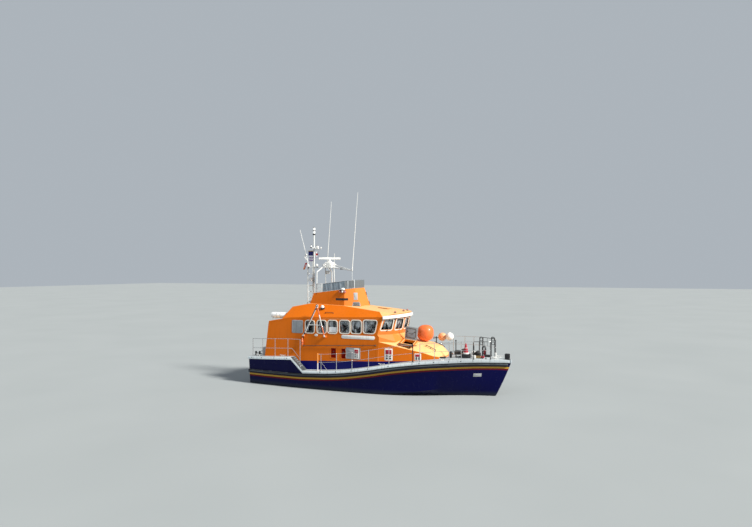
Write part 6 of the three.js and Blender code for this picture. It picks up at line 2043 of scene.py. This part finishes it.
class LIFEBOAT_OT_aft_deck(bpy.types.Operator):
    """Lockers, ventilators, bollards, capstan and hatch on the aft deck"""

    bl_idname = "lifeboat.aft_deck"
    bl_label = "Aft deck gear"

    def execute(self, context):
        pale, dark = [], []
        floor = deck_at(-6.6, 1.2).z
        for aft, inner, outer, low, high in ((-6.48, 1.18, 1.62, -0.01, 0.42),
                                             (-6.50, 1.16, 1.64, 0.42, 0.46)):
            pale.append(block((aft, inner, floor + low), (-6.215, outer, floor + high), 0.012))
        dark += [block((-6.505, y - 0.03, floor + 0.36), (-6.475, y + 0.03, floor + 0.46), 0.006)
                 for y in (1.28, 1.5)]
        foot = deck_at(-6.82, 0.95)
        pale += [upright(foot, -0.004, 0.16, 0.07, sides=24),
                 ball(foot + UP * 0.17, 0.13, (1, 1, 0.5), 28, 14)]
        for x in (-6.95, -6.70):
            foot = deck_at(x, 1.52)
            dark += [upright(foot, -0.004, 0.22, 0.045, sides=24, edge=0.004),
                     upright(foot, 0.20, 0.23, 0.062, sides=24, edge=0.006)]
        foot = deck_at(-6.82, 1.52)
        dark += [block(foot - Vector((0.22, 0.08, 0.004)), foot + Vector((0.22, 0.08, 0.012)), 0.004),
                 rod(foot + Vector((-0.2, 0, 0.13)), foot + Vector((0.2, 0, 0.13)), 0.022, sides=16,
                     edge=0.003)]
        finish_pair(pale, "aft_deck_lockers", enamel("grey", 0.5), "grey_panel")
        finish_pair(dark, "aft_deck_bollards", enamel("black", 0.45, streaks=0.4), "dark_metal")
        foot = deck_at(-6.95, 0.3)
        drum = [upright(foot, -0.004, 0.05, 0.14, sides=32, edge=0.006),
                upright(foot, 0.04, 0.24, 0.095, 0.07, 32), upright(foot, 0.24, 0.28, 0.11, 0.1, 32, 0.01)]
        placed(drum, "aft_capstan", enamel("bronze", 0.35, metallic=0.7), "bronze")
        hatch = on_top(-6.62, 0.0, "deck")
        lid = [plate(hatch, rectangle(0.46, 0.46), 0.03, 0.06, 0.008)]
        lid += put(hatch, hoop((0, 0, 0.034), 0.05, 0.008), hoop((0, 0, 0.03), 0.16, 0.006))
        placed(lid, "aft_deck_hatch", enamel("deck", 0.5, streaks=0.4), "deck_paint")
        return {"FINISHED"}


TRANSOM_LADDER = {"off": 0.05, "half": 0.2, "low": -0.15, "high": 1.35, "rungs": (-0.1, 0.2, 0.5, 0.8, 1.1)}
EXHAUST = (0.95, 0.32)


class LIFEBOAT_OT_transom(bpy.types.Operator):
    """Ladder, exhaust outlets, plates and lamps on the transom"""

    bl_idname = "lifeboat.transom"
    bl_label = "Transom"

    def execute(self, context):
        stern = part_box("hull")[0].x
        x, half = stern - TRANSOM_LADDER["off"], TRANSOM_LADDER["half"]
        low, high = TRANSOM_LADDER["low"], TRANSOM_LADDER["high"]
        ladder = [pipe([(x, y, low), (x, y, high)], 0.016, sides=16) for y in (-half, half)]
        ladder += [pipe([(x, -half, z), (x, half, z)], 0.013) for z in TRANSOM_LADDER["rungs"]]
        for y in (-half, half):
            ladder += [rod((stern + 0.004, y, z), (x, y, z), 0.012, sides=12) for z in (0.05, 1.25)]
        placed(ladder, "transom_ladder", polished_steel(), "rail_steel", smooth=50)
        exhaust = [hoop((stern - 0.012, *EXHAUST), 0.105, 0.018, AHEAD, 36, 10),
                   rod((stern + 0.004, *EXHAUST), (stern - 0.006, *EXHAUST), 0.1, sides=32)]
        exhaust += [rod((stern + 0.004, y, 0.75), (stern - 0.012, y, 0.75), 0.035, sides=20, edge=0.003)
                    for y in (0.7, 1.3)]
        finish_pair(exhaust, "exhaust_outlets", enamel("black", 0.5), "dark_metal")
        plates = [plate(from_aft("hull", 1.25, 1.12), rectangle(0.5, 0.16), 0.008, 0.03, 0.002)]
        plates += put(from_aft("hull", 1.75, 1.0),
                      block((-0.05, -0.05, -0.002), (0.05, 0.05, 0.03), 0.012, 3))
        finish_pair(plates, "transom_plates", enamel("white", 0.45), "white_paint")
        return {"FINISHED"}


# Stage

class LIFEBOAT_OT_stage(bpy.types.Operator):
    """Pale floor at the waterline, soft light and the camera"""

    bl_idname = "lifeboat.stage"
    bl_label = "Stage"

    def execute(self, context):
        scene = context.scene
        bpy.ops.mesh.primitive_plane_add(size=400)
        floor = context.object
        floor.name = "stage_floor"
        material, w, shader = new_material("pale floor")
        cloud = w.noise(w.place(), 0.15, 2.0)
        w.feed(shader.inputs["Base Color"],
               w.blend(w.spread(cloud, 0.3, 0.7), (0.33, 0.36, 0.375, 1), (0.35, 0.38, 0.395, 1)))
        shader.inputs["Roughness"].default_value = 0.85
        floor.data.materials.append(material)
        for name, source, strength, softness, tint in (
            ("key", (0.80, -0.11, 0.59), 6.2, 10, (1.0, 0.96, 0.88)),
            ("fill", (-0.35, -0.8, 0.5), 0.38, 40, (0.92, 0.96, 1.0)),
        ):
            light = bpy.data.lights.new(name, "SUN")
            light.energy = strength
            light.angle = math.radians(softness)
            light.color = tint
            lamp = bpy.data.objects.new(name, light)
            lamp.rotation_euler = Vector(source).to_track_quat("Z", "Y").to_euler()
            scene.collection.objects.link(lamp)
        world = bpy.data.worlds.new("studio")
        scene.world = world
        world.use_nodes = True
        w = Wiring(world.node_tree)
        back = world.node_tree.nodes["Background"]
        seen = w.node("LightPath").outputs["Is Camera Ray"]
        w.feed(back.inputs["Color"], (0.80, 0.88, 0.96, 1))
        w.feed(back.inputs["Strength"], w.spread(seen, 0.0, 1.0, 0.36, 0.52))
        scene.view_settings.view_transform = "Standard"
        camera = bpy.data.cameras.new("camera")
        camera.lens = LENS
        camera.sensor_width = 36
        camera.clip_end = 500
        viewer = bpy.data.objects.new("camera", camera)
        yaw, pitch = math.radians(HEADING), math.radians(PITCH)
        ahead = Vector((-math.sin(yaw) * math.cos(pitch), math.cos(yaw) * math.cos(pitch), math.sin(pitch)))
        viewer.location = EYE
        viewer.rotation_euler = ahead.to_track_quat("-Z", "Y").to_euler()
        scene.collection.objects.link(viewer)
        scene.camera = viewer
        return {"FINISHED"}


OPERATORS = (
    LIFEBOAT_OT_stage,
    LIFEBOAT_OT_hull,
    LIFEBOAT_OT_deck,
    LIFEBOAT_OT_house,
    LIFEBOAT_OT_windows,
    LIFEBOAT_OT_interior,
    LIFEBOAT_OT_upper_bridge,
    LIFEBOAT_OT_dodger,
    LIFEBOAT_OT_mast,
    LIFEBOAT_OT_radar,
    LIFEBOAT_OT_aerials,
    LIFEBOAT_OT_mast_gear,
    LIFEBOAT_OT_rails,
    LIFEBOAT_OT_side_fittings,
    LIFEBOAT_OT_roof_fittings,
    LIFEBOAT_OT_foredeck_details,
    LIFEBOAT_OT_liferaft,
    LIFEBOAT_OT_davit,
    LIFEBOAT_OT_fenders,
    LIFEBOAT_OT_hatch,
    LIFEBOAT_OT_foredeck_gear,
    LIFEBOAT_OT_flags,
    LIFEBOAT_OT_underwater,
    LIFEBOAT_OT_aft_door,
    LIFEBOAT_OT_aft_deck,
    LIFEBOAT_OT_transom,
)


class LIFEBOAT_PT_panel(bpy.types.Panel):
    """Lists the steps that model the boat"""

    bl_idname = "LIFEBOAT_PT_panel"
    bl_label = "Lifeboat"
    bl_space_type = "VIEW_3D"
    bl_region_type = "UI"
    bl_category = "Lifeboat"

    def draw(self, context):
        for operator in OPERATORS:
            self.layout.operator(operator.bl_idname)


CLASSES = (LifeboatPaint, LifeboatSizes, *OPERATORS, LIFEBOAT_PT_panel)


def register():
    for item in CLASSES:
        bpy.utils.register_class(item)
    bpy.types.Scene.lifeboat_paint = PointerProperty(type=LifeboatPaint)
    bpy.types.Scene.lifeboat_sizes = PointerProperty(type=LifeboatSizes)


def unregister():
    del bpy.types.Scene.lifeboat_sizes
    del bpy.types.Scene.lifeboat_paint
    for item in reversed(CLASSES):
        bpy.utils.unregister_class(item)


def main():
    register()
    build_groups()
    for operator in OPERATORS:
        category, name = operator.bl_idname.split(".")
        getattr(getattr(bpy.ops, category), name)()


if __name__ == "__main__":
    main()
